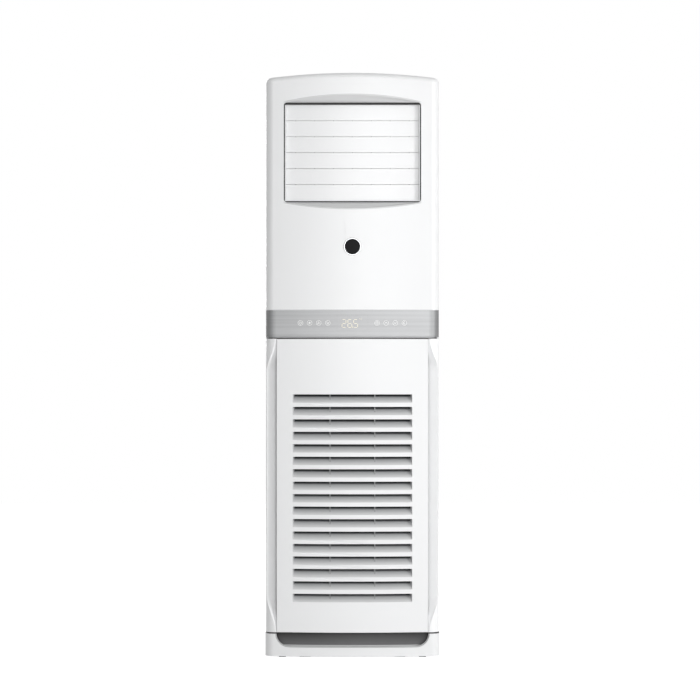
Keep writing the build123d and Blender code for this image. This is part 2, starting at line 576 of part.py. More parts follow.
with BuildPart() as control_fascia:
    with BuildSketch(Plane.XY.offset(FASCIA_BOTTOM)):
        add(front_skin(FLANGE_DEPTH))
    extrude(amount=FASCIA_HEIGHT)
    with BuildSketch(Plane.XY.offset(FASCIA_BOTTOM + MOULDING)):
        add(front_skin(2 * FLANGE_DEPTH))
        add(front_skin(MOULDING), mode=Mode.SUBTRACT)
    extrude(amount=FASCIA_HEIGHT - 2 * MOULDING, mode=Mode.SUBTRACT)
    with BuildSketch(Plane.XY.offset(PANEL_TOP + FIT)):
        add(front_skin(NECK_INSET + MOULDING))
        add(front_skin(NECK_INSET), mode=Mode.SUBTRACT)
    extrude(amount=FASCIA_GAP - FIT)
    with BuildSketch(front_plane(0)):
        with Locations((0, row_z)):
            Rectangle(DISPLAY_WIDTH, DISPLAY_HEIGHT)
        with Locations([(x, row_z) for x in key_xs]):
            Circle(KEY_DIAMETER / 2)
    extrude(amount=-board_depth, mode=Mode.SUBTRACT)
    # four posts that carry the display board
    with BuildSketch(front_plane(board_depth)):
        with Locations((0, row_z)):
            with GridLocations(BOARD_WIDTH - 4 * MOULDING, BOARD_HEIGHT - 4 * MOULDING, 2, 2):
                Circle(MOULDING)
    extrude(amount=BOARD_STAND_OFF + MOULDING)
control_fascia.part.label = "control_fascia"
export_step(control_fascia.part, "parts/control_fascia.step")

with BuildPart() as display_window:
    with BuildSketch(Plane.XY.offset(FASCIA_BOTTOM)):
        add(front_skin(MOULDING))
    extrude(amount=FASCIA_HEIGHT)
    with BuildSketch(front_plane(0)):
        with Locations((0, row_z)):
            Rectangle(DISPLAY_WIDTH - 2 * INLAY_GAP, DISPLAY_HEIGHT - 2 * INLAY_GAP)
    extrude(amount=-board_depth, mode=Mode.INTERSECT)
display_window.part.label = "display_window"
export_step(display_window.part, "parts/display_window.step")

with BuildPart() as touch_keys:
    with BuildSketch(Plane.XY.offset(FASCIA_BOTTOM)):
        add(front_skin(MOULDING))
    extrude(amount=FASCIA_HEIGHT)
    with BuildSketch(front_plane(0)):
        with Locations([(x, row_z) for x in key_xs]):
            Circle(KEY_DIAMETER / 2 - INLAY_GAP)
    extrude(amount=-board_depth, mode=Mode.INTERSECT)
touch_keys.part.label = "touch_keys"
export_step(touch_keys.part, "parts/touch_keys.step")

with BuildPart() as display_board:
    with BuildSketch(front_plane(board_depth)):
        with Locations((0, row_z)):
            RectangleRounded(BOARD_WIDTH, BOARD_HEIGHT, MOULDING)
    extrude(amount=-BOARD_THICKNESS)
display_board.part.label = "display_board"
export_step(display_board.part, "parts/display_board.step")

# ---------------------------------------------------------------- upper front and outlet surround
CRESCENT_TOP = 21.5            # sloping surround above the outlet, at the middle
CRESCENT_BOTTOM = 19.3
SURROUND_SKIN = 3.0
SURROUND_WALL = 1.5            # beside the outlet opening
SLEEVE = 5.0                   # surround's sleeve behind the outlet's plane
BADGE_PLACE = 0.584            # share of the way from the fascia up to the outlet opening
BADGE_DIAMETER = 52.0
BADGE_PROUD = 2.0
BADGE_RING_WALL = 3.0
BADGE_SINK = 1.0               # disc below the ring's rim
BADGE_SPIGOT = 30.0

surround_half = WINDOW_WIDTH / 2 + SURROUND_WALL
window_depth = bow_depth(surround_half)
window_middle_z = (WINDOW_BOTTOM + WINDOW_TOP) / 2
badge_z = FASCIA_TOP + BADGE_PLACE * (WINDOW_BOTTOM - FASCIA_TOP)


def surround_wedge(shift):
    """Side view of the space in front of the surround's slopes, moved back by shift."""
    front = -2 * MOULDING
    rise = (window_depth - front) / window_depth
    plane_y = FRONT_Y + window_depth + shift
    front_y = FRONT_Y + front + shift
    with BuildSketch(Plane.YZ, mode=Mode.PRIVATE) as wedge:
        with BuildLine():
            Polyline(
                (plane_y, WINDOW_BOTTOM),
                (plane_y, WINDOW_TOP),
                (front_y, WINDOW_TOP + CRESCENT_TOP * rise),
                (front_y, WINDOW_BOTTOM - CRESCENT_BOTTOM * rise),
                close=True,
            )
        make_face()
    return wedge.sketch


with BuildPart() as surround_space:
    extrude(surround_wedge(SURROUND_SKIN), amount=surround_half, both=True)
    with BuildSketch(front_plane(window_depth)):
        with Locations((0, window_middle_z)):
            Rectangle(2 * surround_half, WINDOW_HEIGHT + 2 * SURROUND_WALL)
    extrude(amount=-SLEEVE)

with BuildPart() as upper_front_panel:
    with BuildSketch(Plane.XY.offset(FASCIA_TOP)):
        add(front_skin(MOULDING))
    extrude(amount=COVER_BOTTOM - FASCIA_TOP)
    add(surround_space.part, mode=Mode.SUBTRACT)
    with BuildSketch(front_plane(-MOULDING)):
        with Locations((0, badge_z)):
            Circle(BADGE_SPIGOT / 2 + INLAY_GAP)
    extrude(amount=-3 * MOULDING, mode=Mode.SUBTRACT)
upper_front_panel.part.label = "upper_front_panel"
export_step(upper_front_panel.part, "parts/upper_front_panel.step")

with BuildPart() as outlet_surround:
    with BuildSketch(Plane.XY.offset(FASCIA_TOP)):
        add(body_outline())
    extrude(amount=COVER_BOTTOM - FASCIA_TOP)
    add(surround_space.part, mode=Mode.INTERSECT)
    extrude(surround_wedge(0), amount=BODY_WIDTH, both=True, mode=Mode.SUBTRACT)
    with BuildSketch(front_plane(0)):
        with Locations((0, window_middle_z)):
            RectangleRounded(WINDOW_WIDTH, WINDOW_HEIGHT, WINDOW_CORNER_RADIUS)
    extrude(amount=-SEAM_DEPTH, mode=Mode.SUBTRACT)
outlet_surround.part.label = "outlet_surround"
export_step(outlet_surround.part, "parts/outlet_surround.step")

with BuildPart() as badge_ring:
    with BuildSketch(front_plane(0)):
        with Locations((0, badge_z)):
            Circle(BADGE_DIAMETER / 2)
            Circle(BADGE_DIAMETER / 2 - BADGE_RING_WALL, mode=Mode.SUBTRACT)
    extrude(amount=BADGE_PROUD)
    fillet(badge_ring.faces().sort_by(Axis.Y)[0].edges(), BADGE_RING_WALL / 3)
badge_ring.part.label = "badge_ring"
export_step(badge_ring.part, "parts/badge_ring.step")

with BuildPart() as badge_disc:
    with BuildSketch(front_plane(0)):
        with Locations((0, badge_z)):
            Circle(BADGE_DIAMETER / 2 - BADGE_RING_WALL - INLAY_GAP)
    extrude(amount=BADGE_PROUD - BADGE_SINK)
    with BuildSketch(front_plane(0)):
        with Locations((0, badge_z)):
            Circle(BADGE_SPIGOT / 2)
    extrude(amount=-2 * MOULDING)
badge_disc.part.label = "badge_disc"
export_step(badge_disc.part, "parts/badge_disc.step")

# ---------------------------------------------------------------- outlet frame and gasket
FRAME_BORDER = 5.7             # outlet edge to the blades' opening
FRAME_WALL = 2.4
FRAME_FLANGE = 12.0            # flange behind the surround, beyond the outlet's edge
FRAME_FLANGE_WALL = 2.5
FRAME_SET_BACK = 1.5           # frame's front edge behind the outlet's plane
FRAME_BACK_DEPTH = 105.0
GASKET_SET_BACK = 1.0
BLADE_COUNT = 6
BLADE_GAP = 1.0                # between closed blades
BLADE_SIDE_GAP = 0.8
BLADE_SET_BACK = 12.2          # blade axes behind the outlet's plane
BLADE_EDGE = 1.4               # thickness at the blade's edges
BLADE_FRONT_CROWN = 0.8
BLADE_REAR_CROWN = 1.6
PIVOT_PIN = 4.0
PIVOT_CLEARANCE = 0.15         # all round a blade's or vane's pin
CRANK_RADIUS = 12.0
CRANK_WALL = 3.0
CRANK_WIDTH = 7.0
CRANK_PIN = 3.0
LINK_CLEARANCE = 0.1           # all round a crank pin in its tie bar
LINK_WALL = 2.5
LINK_WIDTH = 8.0
RUNNING_GAP = 0.4              # between sliding or turning faces
DRIVEN_BLADE = BLADE_COUNT // 2
VANE_COUNT = 7
VANE_DEPTH = 82.0              # vane axes
VANE_CHORD = 40.0
VANE_THICKNESS = 2.4
DRIVEN_VANE = VANE_COUNT // 2 + 1
MOTOR_DIAMETER = 28.0
MOTOR_LENGTH = 19.0
MOTOR_OFFSET = 10.0            # the shaft is off the motor's middle
MOTOR_SHAFT_REACH = 6.0

opening_half = WINDOW_WIDTH / 2 - FRAME_BORDER
opening_bottom = WINDOW_BOTTOM + FRAME_BORDER
opening_top = WINDOW_TOP - FRAME_BORDER
opening_height = opening_top - opening_bottom
blade_pitch = opening_height / BLADE_COUNT
blade_half_chord = (blade_pitch - BLADE_GAP) / 2
blade_half_length = opening_half - BLADE_SIDE_GAP
blade_depth = window_depth + BLADE_SET_BACK
blade_y = FRONT_Y + blade_depth
blade_zs = [opening_top - (k + 0.5) * blade_pitch for k in range(BLADE_COUNT)]
frame_outer = opening_half + FRAME_WALL
flange_depth = window_depth + SLEEVE
vane_pitch = 2 * opening_half / VANE_COUNT
vane_y = FRONT_Y + VANE_DEPTH
vane_xs = [-opening_half + (k + 0.5) * vane_pitch for k in range(VANE_COUNT)]


def window_rectangle(grow):
    """Rounded rectangle of the outlet's edge, grown or shrunk, on the current plane."""
    with Locations((0, window_middle_z)):
        radius = max(WINDOW_CORNER_RADIUS + grow, LEAST_CORNER)
        RectangleRounded(WINDOW_WIDTH + 2 * grow, WINDOW_HEIGHT + 2 * grow, radius)


with BuildPart() as outlet_gasket:
    with BuildSketch(front_plane(window_depth + GASKET_SET_BACK)) as gasket_front:
        window_rectangle(-INLAY_GAP)
        with Locations((0, window_middle_z)):
            gasket_inner = 2 * (FRAME_WALL + INLAY_GAP)
            Rectangle(2 * opening_half + gasket_inner, opening_height + gasket_inner, mode=Mode.SUBTRACT)
    extrude(amount=-(SLEEVE - GASKET_SET_BACK))
outlet_gasket.part.label = "outlet_gasket"
export_step(outlet_gasket.part, "parts/outlet_gasket.step")

with BuildPart() as outlet_frame:
    with BuildSketch(front_plane(window_depth + FRAME_SET_BACK)):
        with Locations((0, window_middle_z)):
            Rectangle(2 * frame_outer, opening_height + 2 * FRAME_WALL)
    extrude(amount=-(FRAME_BACK_DEPTH - window_depth - FRAME_SET_BACK))
    with BuildSketch(front_plane(flange_depth)):
        window_rectangle(FRAME_FLANGE)
    extrude(amount=-FRAME_FLANGE_WALL)
    with BuildSketch(front_plane(0)):
        with Locations((0, window_middle_z)):
            Rectangle(2 * opening_half, opening_height)
    extrude(amount=-FRAME_BACK_DEPTH, mode=Mode.SUBTRACT)
    with BuildSketch(Plane.YZ):
        with Locations([(blade_y, z) for z in blade_zs]):
            Circle(PIVOT_PIN / 2 + PIVOT_CLEARANCE)
    extrude(amount=BODY_WIDTH / 2, both=True, mode=Mode.SUBTRACT)
    with BuildSketch(Plane.XY.offset(window_middle_z)):
        with Locations([(x, vane_y) for x in vane_xs]):
            Circle(PIVOT_PIN / 2 + PIVOT_CLEARANCE)
    extrude(amount=WINDOW_HEIGHT, both=True, mode=Mode.SUBTRACT)
outlet_frame.part.label = "outlet_frame"
export_step(outlet_frame.part, "parts/outlet_frame.step")

# ---------------------------------------------------------------- louvre blades across the outlet
crank_start = frame_outer + 2 * RUNNING_GAP
crank_end = crank_start + CRANK_WALL
link_start = crank_end + RUNNING_GAP


def make_blade(z, driven):
    """Crowned blade with a pin at each end and a crank on its left pin."""
    front = -BLADE_EDGE / 2
    back = BLADE_EDGE / 2
    with BuildPart() as blade:
        with BuildSketch(Plane.YZ):
            with BuildLine():
                nose = ThreePointArc(
                    (blade_y + front, z - blade_half_chord),
                    (blade_y + front - BLADE_FRONT_CROWN, z),
                    (blade_y + front, z + blade_half_chord),
                )
                tail = ThreePointArc(
                    (blade_y + back, z + blade_half_chord),
                    (blade_y + back + BLADE_REAR_CROWN, z),
                    (blade_y + back, z - blade_half_chord),
                )
                Line(nose @ 1, tail @ 0)
                Line(tail @ 1, nose @ 0)
            make_face()
        extrude(amount=blade_half_length, both=True)
        with BuildSketch(Plane.YZ.offset(-crank_start)):
            with Locations((blade_y, z)):
                Circle(PIVOT_PIN / 2)
        extrude(amount=crank_start - blade_half_length + CRANK_WALL)
        pin_end = frame_outer + (MOTOR_SHAFT_REACH if driven else RUNNING_GAP)
        with BuildSketch(Plane.YZ.offset(pin_end)):
            with Locations((blade_y, z)):
                Circle(PIVOT_PIN / 2)
        extrude(amount=-(pin_end - blade_half_length + CRANK_WALL))
        with BuildSketch(Plane.YZ.offset(-crank_start)):
            with Locations((blade_y + CRANK_RADIUS / 2, z)):
                SlotCenterToCenter(CRANK_RADIUS, CRANK_WIDTH)
        extrude(amount=-CRANK_WALL)
        with BuildSketch(Plane.YZ.offset(-crank_end)):
            with Locations((blade_y + CRANK_RADIUS, z)):
                Circle(CRANK_PIN / 2)
        extrude(amount=-(LINK_WALL + 2 * RUNNING_GAP))
    return blade


for k, z in enumerate(blade_zs, start=1):
    louvre_blade = make_blade(z, k == DRIVEN_BLADE)
    louvre_blade.part.label = f"louvre_blade_{k}"
    export_step(louvre_blade.part, f"parts/louvre_blade_{k}.step")

with BuildPart() as blade_tie_bar:
    with BuildSketch(Plane.YZ.offset(-link_start)):
        with Locations((blade_y + CRANK_RADIUS, window_middle_z)):
            SlotCenterToCenter(blade_zs[0] - blade_zs[-1], LINK_WIDTH, rotation=90)
        with Locations([(blade_y + CRANK_RADIUS, z) for z in blade_zs]):
            Circle(CRANK_PIN / 2 + LINK_CLEARANCE, mode=Mode.SUBTRACT)
    extrude(amount=-LINK_WALL)
blade_tie_bar.part.label = "blade_tie_bar"
export_step(blade_tie_bar.part, "parts/blade_tie_bar.step")

driven_z = blade_zs[DRIVEN_BLADE - 1]

with BuildPart() as blade_motor:
    with BuildSketch(Plane.YZ.offset(frame_outer)):
        with Locations((blade_y + MOTOR_OFFSET, driven_z)):
            Circle(MOTOR_DIAMETER / 2)
    extrude(amount=MOTOR_LENGTH)
    with BuildSketch(Plane.YZ.offset(frame_outer)):
        with Locations((blade_y, driven_z)):
            Circle(PIVOT_PIN / 2 + PIVOT_CLEARANCE)
    extrude(amount=MOTOR_SHAFT_REACH + RUNNING_GAP, mode=Mode.SUBTRACT)
blade_motor.part.label = "blade_motor"
export_step(blade_motor.part, "parts/blade_motor.step")

# ---------------------------------------------------------------- upright vanes behind the blades
vane_bottom = opening_bottom + BLADE_SIDE_GAP
vane_top = opening_top - BLADE_SIDE_GAP
vane_crank_top = opening_bottom - FRAME_WALL - 2 * RUNNING_GAP


def make_vane(x, driven):
    """Flat upright vane with a pin at each end and a crank under its lower pin."""
    with BuildPart() as vane:
        with BuildSketch(Plane.XY.offset(vane_bottom)):
            with Locations((x, vane_y)):
                SlotOverall(VANE_CHORD, VANE_THICKNESS, rotation=90)
        extrude(amount=vane_top - vane_bottom)
        pin_top = opening_top + FRAME_WALL + (MOTOR_SHAFT_REACH if driven else RUNNING_GAP)
        with BuildSketch(Plane.XY.offset(vane_top - CRANK_WALL)):
            with Locations((x, vane_y)):
                Circle(PIVOT_PIN / 2)
        extrude(amount=pin_top - vane_top + CRANK_WALL)
        with BuildSketch(Plane.XY.offset(vane_crank_top)):
            with Locations((x, vane_y)):
                Circle(PIVOT_PIN / 2)
        extrude(amount=vane_bottom - vane_crank_top + CRANK_WALL)
        with BuildSketch(Plane.XY.offset(vane_crank_top)):
            with Locations((x, vane_y + CRANK_RADIUS / 2)):
                SlotCenterToCenter(CRANK_RADIUS, CRANK_WIDTH, rotation=90)
        extrude(amount=-CRANK_WALL)
        with BuildSketch(Plane.XY.offset(vane_crank_top - CRANK_WALL)):
            with Locations((x, vane_y + CRANK_RADIUS)):
                Circle(CRANK_PIN / 2)
        extrude(amount=-(LINK_WALL + 2 * RUNNING_GAP))
    return vane


for k, x in enumerate(vane_xs, start=1):
    air_vane = make_vane(x, k == DRIVEN_VANE)
    air_vane.part.label = f"air_vane_{k}"
    export_step(air_vane.part, f"parts/air_vane_{k}.step")

with BuildPart() as vane_tie_bar:
    with BuildSketch(Plane.XY.offset(vane_crank_top - CRANK_WALL - RUNNING_GAP)):
        with Locations((0, vane_y + CRANK_RADIUS)):
            SlotCenterToCenter(vane_xs[-1] - vane_xs[0], LINK_WIDTH)
        with Locations([(x, vane_y + CRANK_RADIUS) for x in vane_xs]):
            Circle(CRANK_PIN / 2 + LINK_CLEARANCE, mode=Mode.SUBTRACT)
    extrude(amount=-LINK_WALL)
vane_tie_bar.part.label = "vane_tie_bar"
export_step(vane_tie_bar.part, "parts/vane_tie_bar.step")

with BuildPart() as vane_motor:
    driven_x = vane_xs[DRIVEN_VANE - 1]
    with BuildSketch(Plane.XY.offset(opening_top + FRAME_WALL)):
        with Locations((driven_x, vane_y - MOTOR_OFFSET)):
            Circle(MOTOR_DIAMETER / 2)
    extrude(amount=MOTOR_LENGTH)
    with BuildSketch(Plane.XY.offset(opening_top + FRAME_WALL)):
        with Locations((driven_x, vane_y)):
            Circle(PIVOT_PIN / 2 + PIVOT_CLEARANCE)
    extrude(amount=MOTOR_SHAFT_REACH + RUNNING_GAP, mode=Mode.SUBTRACT)
vane_motor.part.label = "vane_motor"
export_step(vane_motor.part, "parts/vane_motor.step")

# ---------------------------------------------------------------- discharge duct
DUCT_WALL = 8.0
DUCT_BEND = 60.0               # outer radius at the duct's upper rear edge
DUCT_DROP = 33.0               # duct's foot below the outlet opening
DUCT_REAR_GAP = 6.0            # room for the rear panel's screws

DUCT_BOTTOM = WINDOW_BOTTOM - DUCT_DROP
duct_front = FRONT_Y + FRAME_BACK_DEPTH
duct_rear = REAR_Y - SHEET - DUCT_REAR_GAP


def duct_side(wall):
    """Side view of the duct, drawn in by wall at the top and rear."""
    with BuildSketch(Plane.YZ, mode=Mode.PRIVATE) as side_view:
        with Locations((duct_front, DUCT_BOTTOM)):
            duct_reach = duct_rear - duct_front - wall
            Rectangle(duct_reach, opening_top + DUCT_WALL - wall - DUCT_BOTTOM, align=(Align.MIN, Align.MIN))
        rear_top = side_view.vertices().sort_by(Axis.X)[-2:].sort_by(Axis.Y)[-1]
        fillet(rear_top, DUCT_BEND - wall)
    return side_view.sketch


with BuildPart() as outlet_duct:
    extrude(duct_side(0), amount=opening_half + DUCT_WALL, both=True)
    extrude(duct_side(DUCT_WALL), amount=opening_half, both=True, mode=Mode.SUBTRACT)
    with BuildSketch(front_plane(FRAME_BACK_DEPTH)):
        with Locations((0, DUCT_BOTTOM)):
            sill = opening_bottom - DUCT_BOTTOM
            Rectangle(2 * (opening_half + DUCT_WALL), sill, align=(Align.CENTER, Align.MIN))
    extrude(amount=-DUCT_WALL)
outlet_duct.part.label = "outlet_duct"
export_step(outlet_duct.part, "parts/outlet_duct.step")

# ---------------------------------------------------------------- air filter
FILTER_BORDER = 12.0
FILTER_BAR = 3.0
FILTER_BAR_ROWS = 4
FILTER_MESH = 1.0
TAB_WIDTH = 60.0
TAB_HEIGHT = 12.0

filter_middle_z = FILTER_BOTTOM + FILTER_HEIGHT / 2
mesh_width = 2 * (FILTER_HALF_WIDTH - FILTER_BORDER)
mesh_height = FILTER_HEIGHT - 2 * FILTER_BORDER

with BuildPart() as filter_frame:
    with BuildSketch(front_plane(FILTER_DEPTH)):
        with Locations((0, filter_middle_z)):
            Rectangle(2 * FILTER_HALF_WIDTH, FILTER_HEIGHT)
            Rectangle(mesh_width, mesh_height, mode=Mode.SUBTRACT)
        with Locations((0, FILTER_BOTTOM + FILTER_HEIGHT)):
            Rectangle(TAB_WIDTH, TAB_HEIGHT, align=(Align.CENTER, Align.MIN))
    extrude(amount=-FILTER_THICKNESS)
    with BuildSketch(front_plane(FILTER_DEPTH + FILTER_MESH)):
        with Locations((0, filter_middle_z)):
            Rectangle(FILTER_BAR, mesh_height)
            with GridLocations(0, mesh_height / (FILTER_BAR_ROWS + 1), 1, FILTER_BAR_ROWS):
                Rectangle(mesh_width, FILTER_BAR)
    extrude(amount=-(FILTER_THICKNESS - FILTER_MESH))
filter_frame.part.label = "filter_frame"
export_step(filter_frame.part, "parts/filter_frame.step")

with BuildPart() as filter_mesh:
    with BuildSketch(front_plane(FILTER_DEPTH)):
        with Locations((0, filter_middle_z)):
            Rectangle(mesh_width, mesh_height)
    extrude(amount=-FILTER_MESH)
filter_mesh.part.label = "filter_mesh"
export_step(filter_mesh.part, "parts/filter_mesh.step")

# ---------------------------------------------------------------- blower
WHEEL_Z = 455.0
WHEEL_GAP = 16.0               # from the wheel to the scroll's first quarter
WHEEL_BAND = 34.0              # blades' depth, from the wheel's rim to its open front
WHEEL_RING = 3.0
WHEEL_BLADES = 36
WHEEL_BLADE_LENGTH = 112.0
FAN_BLADE_WALL = 1.5
FAN_BLADE_LEAD = 13.0          # the tip leads the root by this much
FAN_BLADE_BELLY = 2.2
WHEEL_SET_BACK = 14.0          # wheel's front behind the scroll's front plate
HUB_RADIUS = 18.0
HUB_LENGTH = 40.0
SHAFT_RADIUS = 6.0
SHAFT_FIT = 0.02               # all round the shaft in the hub
BEARING_CLEARANCE = 0.05       # all round the shaft in the motor
SCROLL_FRONT_DEPTH = 88.0
SCROLL_DEPTH = 142.0
SCROLL_WALL = 2.0
SCROLL_SIDE = 86.0             # scroll's first quarter from the cabinet's side
SCROLL_STEP = 18.0             # growth of each quarter
BELL_GAP = 6.0                 # bell mouth's throat inside the wheel's open front
BELL_CURVE = 22.0
BELL_WALL = 2.0
BELL_RIM = 22.0                # flat rim round the bell mouth's curve
DECK_Z = 832.0                 # sheet between the blower and the coil
MOUNT_PLATE_TOP = 645.0        # scroll's front plate runs out to the side walls below this
LEG_X = 130.0
LEG_WIDTH = 40.0
BRACKET_SIZE = 190.0
BRACKET_WALL = 2.0
MOTOR_BODY_RADIUS = 60.0
MOTOR_BODY_LENGTH = 70.0
MOTOR_BODY_EDGE = 12.0

SCROLL_START = HALF_WIDTH - SCROLL_SIDE
WHEEL_RADIUS = SCROLL_START - WHEEL_GAP
WHEEL_INLET = WHEEL_RADIUS - WHEEL_BAND
BELL_THROAT = WHEEL_INLET - BELL_GAP
BELL_FLANGE = BELL_THROAT + BELL_CURVE + BELL_RIM
scroll_y = FRONT_Y + SCROLL_FRONT_DEPTH
scroll_back_depth = SCROLL_FRONT_DEPTH + SCROLL_DEPTH
wheel_front_depth = SCROLL_FRONT_DEPTH + WHEEL_SET_BACK
wheel_back_depth = wheel_front_depth + WHEEL_RING + WHEEL_BLADE_LENGTH
wheel_axis = Axis((0, 0, WHEEL_Z), (0, 1, 0))
outlet_left_x = -SCROLL_STEP / 2
outlet_right_x = SCROLL_STEP / 2 + SCROLL_START + 2 * SCROLL_STEP
cabinet_inner = BODY_WIDTH / 2 - SHEET - FIT


def scroll_outline(grow):
    """Front view of the scroll round the wheel, four arcs and an upright outlet."""
    first = Vector(outlet_left_x, WHEEL_Z)
    second = first + Vector(SCROLL_STEP, 0)
    third = second + Vector(0, SCROLL_STEP)
    r1 = SCROLL_START + grow
    r2 = r1 + SCROLL_STEP
    r3 = r2 + SCROLL_STEP
    tongue = math.degrees(math.asin(grow / r1))
    with BuildSketch(mode=Mode.PRIVATE) as outline:
        with BuildLine():
            upper = CenterArc(first, r1, 90 + tongue, 90 - tongue)
            lower = CenterArc(second, r2, 180, 90)
            right = CenterArc(third, r3, 270, 90)
            Polyline(
                right @ 1,
                (outlet_right_x + grow, DECK_Z),
                (outlet_left_x - grow, DECK_Z),
                upper @ 0,
            )
        make_face()
    return outline.sketch


with BuildPart() as scroll_housing:
    with BuildSketch(front_plane(SCROLL_FRONT_DEPTH)):
        add(scroll_outline(SCROLL_WALL))
    extrude(amount=-SCROLL_DEPTH)
    with BuildSketch(front_plane(SCROLL_FRONT_DEPTH + SCROLL_WALL)):
        add(scroll_outline(0))
    extrude(amount=-(SCROLL_DEPTH - 2 * SCROLL_WALL), mode=Mode.SUBTRACT)
    with BuildSketch(front_plane(SCROLL_FRONT_DEPTH)):
        plate_bottom = WHEEL_Z - SCROLL_START - SCROLL_STEP - SCROLL_WALL
        with Locations((0, plate_bottom)):
            Rectangle(2 * cabinet_inner, MOUNT_PLATE_TOP - plate_bottom, align=(Align.CENTER, Align.MIN))
        with Locations([(side * LEG_X, PLINTH_TOP + SHEET) for side in (-1, 1)]):
            leg_height = plate_bottom - PLINTH_TOP
            Rectangle(LEG_WIDTH, leg_height, align=(Align.CENTER, Align.MIN))
    extrude(amount=-SCROLL_WALL)
    with BuildSketch(front_plane(SCROLL_FRONT_DEPTH)):
        with Locations((0, WHEEL_Z)):
            Circle(BELL_THROAT + BELL_CURVE + FIT)
    extrude(amount=-SCROLL_WALL, mode=Mode.SUBTRACT)
    with BuildSketch(front_plane(scroll_back_depth)):
        with Locations((0, WHEEL_Z)):
            Circle(2 * HUB_RADIUS)
    extrude(amount=SCROLL_WALL, mode=Mode.SUBTRACT)
scroll_housing.part.label = "scroll_housing"
export_step(scroll_housing.part, "parts/scroll_housing.step")

with BuildPart() as bell_mouth:
    with BuildSketch(Plane.YZ):
        curve_y = scroll_y - BELL_WALL + BELL_CURVE
        curve_z = WHEEL_Z + BELL_THROAT + BELL_CURVE
        inner_curve = BELL_CURVE - BELL_WALL
        with BuildLine():
            flow = CenterArc((curve_y, curve_z), BELL_CURVE, 180, 90)
            back = CenterArc((curve_y, curve_z), inner_curve, 180, 90)
            Line(flow @ 1, back @ 1)
            Polyline(
                back @ 0,
                (scroll_y, WHEEL_Z + BELL_FLANGE),
                (scroll_y - BELL_WALL, WHEEL_Z + BELL_FLANGE),
                flow @ 0,
            )
        make_face()
    revolve(axis=wheel_axis)
bell_mouth.part.label = "bell_mouth"
export_step(bell_mouth.part, "parts/bell_mouth.step")

with BuildSketch() as fan_blade:
    tip = WHEEL_RADIUS - 2 * WHEEL_RING / 3
    root = WHEEL_INLET + WHEEL_RING
    belly = (tip + root) / 2
    with BuildLine():
        hollow_side = ThreePointArc((root, 0), (belly, FAN_BLADE_BELLY), (tip, FAN_BLADE_LEAD))
        offset(amount=FAN_BLADE_WALL, side=Side.LEFT)
    make_face()

with BuildPart() as blower_wheel:
    with BuildSketch(front_plane(wheel_front_depth)):
        with Locations((0, WHEEL_Z)):
            Circle(WHEEL_RADIUS)
            Circle(WHEEL_INLET, mode=Mode.SUBTRACT)
    extrude(amount=-WHEEL_RING)
    with BuildSketch(front_plane(wheel_front_depth + WHEEL_RING / 2)):
        with Locations((0, WHEEL_Z)):
            with PolarLocations(0, WHEEL_BLADES):
                add(fan_blade.sketch)
    extrude(amount=-(WHEEL_BLADE_LENGTH + WHEEL_RING))
    with BuildSketch(front_plane(wheel_back_depth)):
        with Locations((0, WHEEL_Z)):
            Circle(WHEEL_RADIUS)
    extrude(amount=-WHEEL_RING)
    with BuildSketch(front_plane(wheel_back_depth + WHEEL_RING)):
        with Locations((0, WHEEL_Z)):
            Circle(HUB_RADIUS)
    extrude(amount=HUB_LENGTH)
    with BuildSketch(front_plane(wheel_back_depth + WHEEL_RING)):
        with Locations((0, WHEEL_Z)):
            Circle(SHAFT_RADIUS + SHAFT_FIT)
    extrude(amount=HUB_LENGTH, mode=Mode.SUBTRACT)
blower_wheel.part.label = "blower_wheel"
export_step(blower_wheel.part, "parts/blower_wheel.step")

motor_front_depth = scroll_back_depth + BRACKET_WALL
motor_back_depth = motor_front_depth + MOTOR_BODY_LENGTH
shaft_front_depth = wheel_back_depth + WHEEL_RING - HUB_LENGTH - WHEEL_RING

with BuildPart() as blower_shaft:
    with BuildSketch(front_plane(shaft_front_depth)):
        with Locations((0, WHEEL_Z)):
            Circle(SHAFT_RADIUS)
    extrude(amount=-(motor_back_depth - MOTOR_BODY_EDGE - shaft_front_depth))
blower_shaft.part.label = "blower_shaft"
export_step(blower_shaft.part, "parts/blower_shaft.step")

with BuildPart() as motor_bracket:
    with BuildSketch(front_plane(scroll_back_depth)) as bracket_front:
        with Locations((0, WHEEL_Z)):
            Rectangle(BRACKET_SIZE, BRACKET_SIZE)
        fillet(bracket_front.vertices(), HUB_RADIUS)
        with Locations((0, WHEEL_Z)):
            Circle(HUB_RADIUS, mode=Mode.SUBTRACT)
    extrude(amount=-BRACKET_WALL)
motor_bracket.part.label = "motor_bracket"
export_step(motor_bracket.part, "parts/motor_bracket.step")

with BuildPart() as fan_motor:
    with BuildSketch(front_plane(motor_front_depth)):
        with Locations((0, WHEEL_Z)):
            Circle(MOTOR_BODY_RADIUS)
    extrude(amount=-MOTOR_BODY_LENGTH)
    fillet(fan_motor.faces().sort_by(Axis.Y)[-1].edges(), MOTOR_BODY_EDGE)
    with BuildSketch(front_plane(motor_front_depth)):
        with Locations((0, WHEEL_Z)):
            Circle(SHAFT_RADIUS + BEARING_CLEARANCE)
    extrude(amount=-(MOTOR_BODY_LENGTH - MOTOR_BODY_EDGE + RUNNING_GAP), mode=Mode.SUBTRACT)
fan_motor.part.label = "fan_motor"
export_step(fan_motor.part, "parts/fan_motor.step")

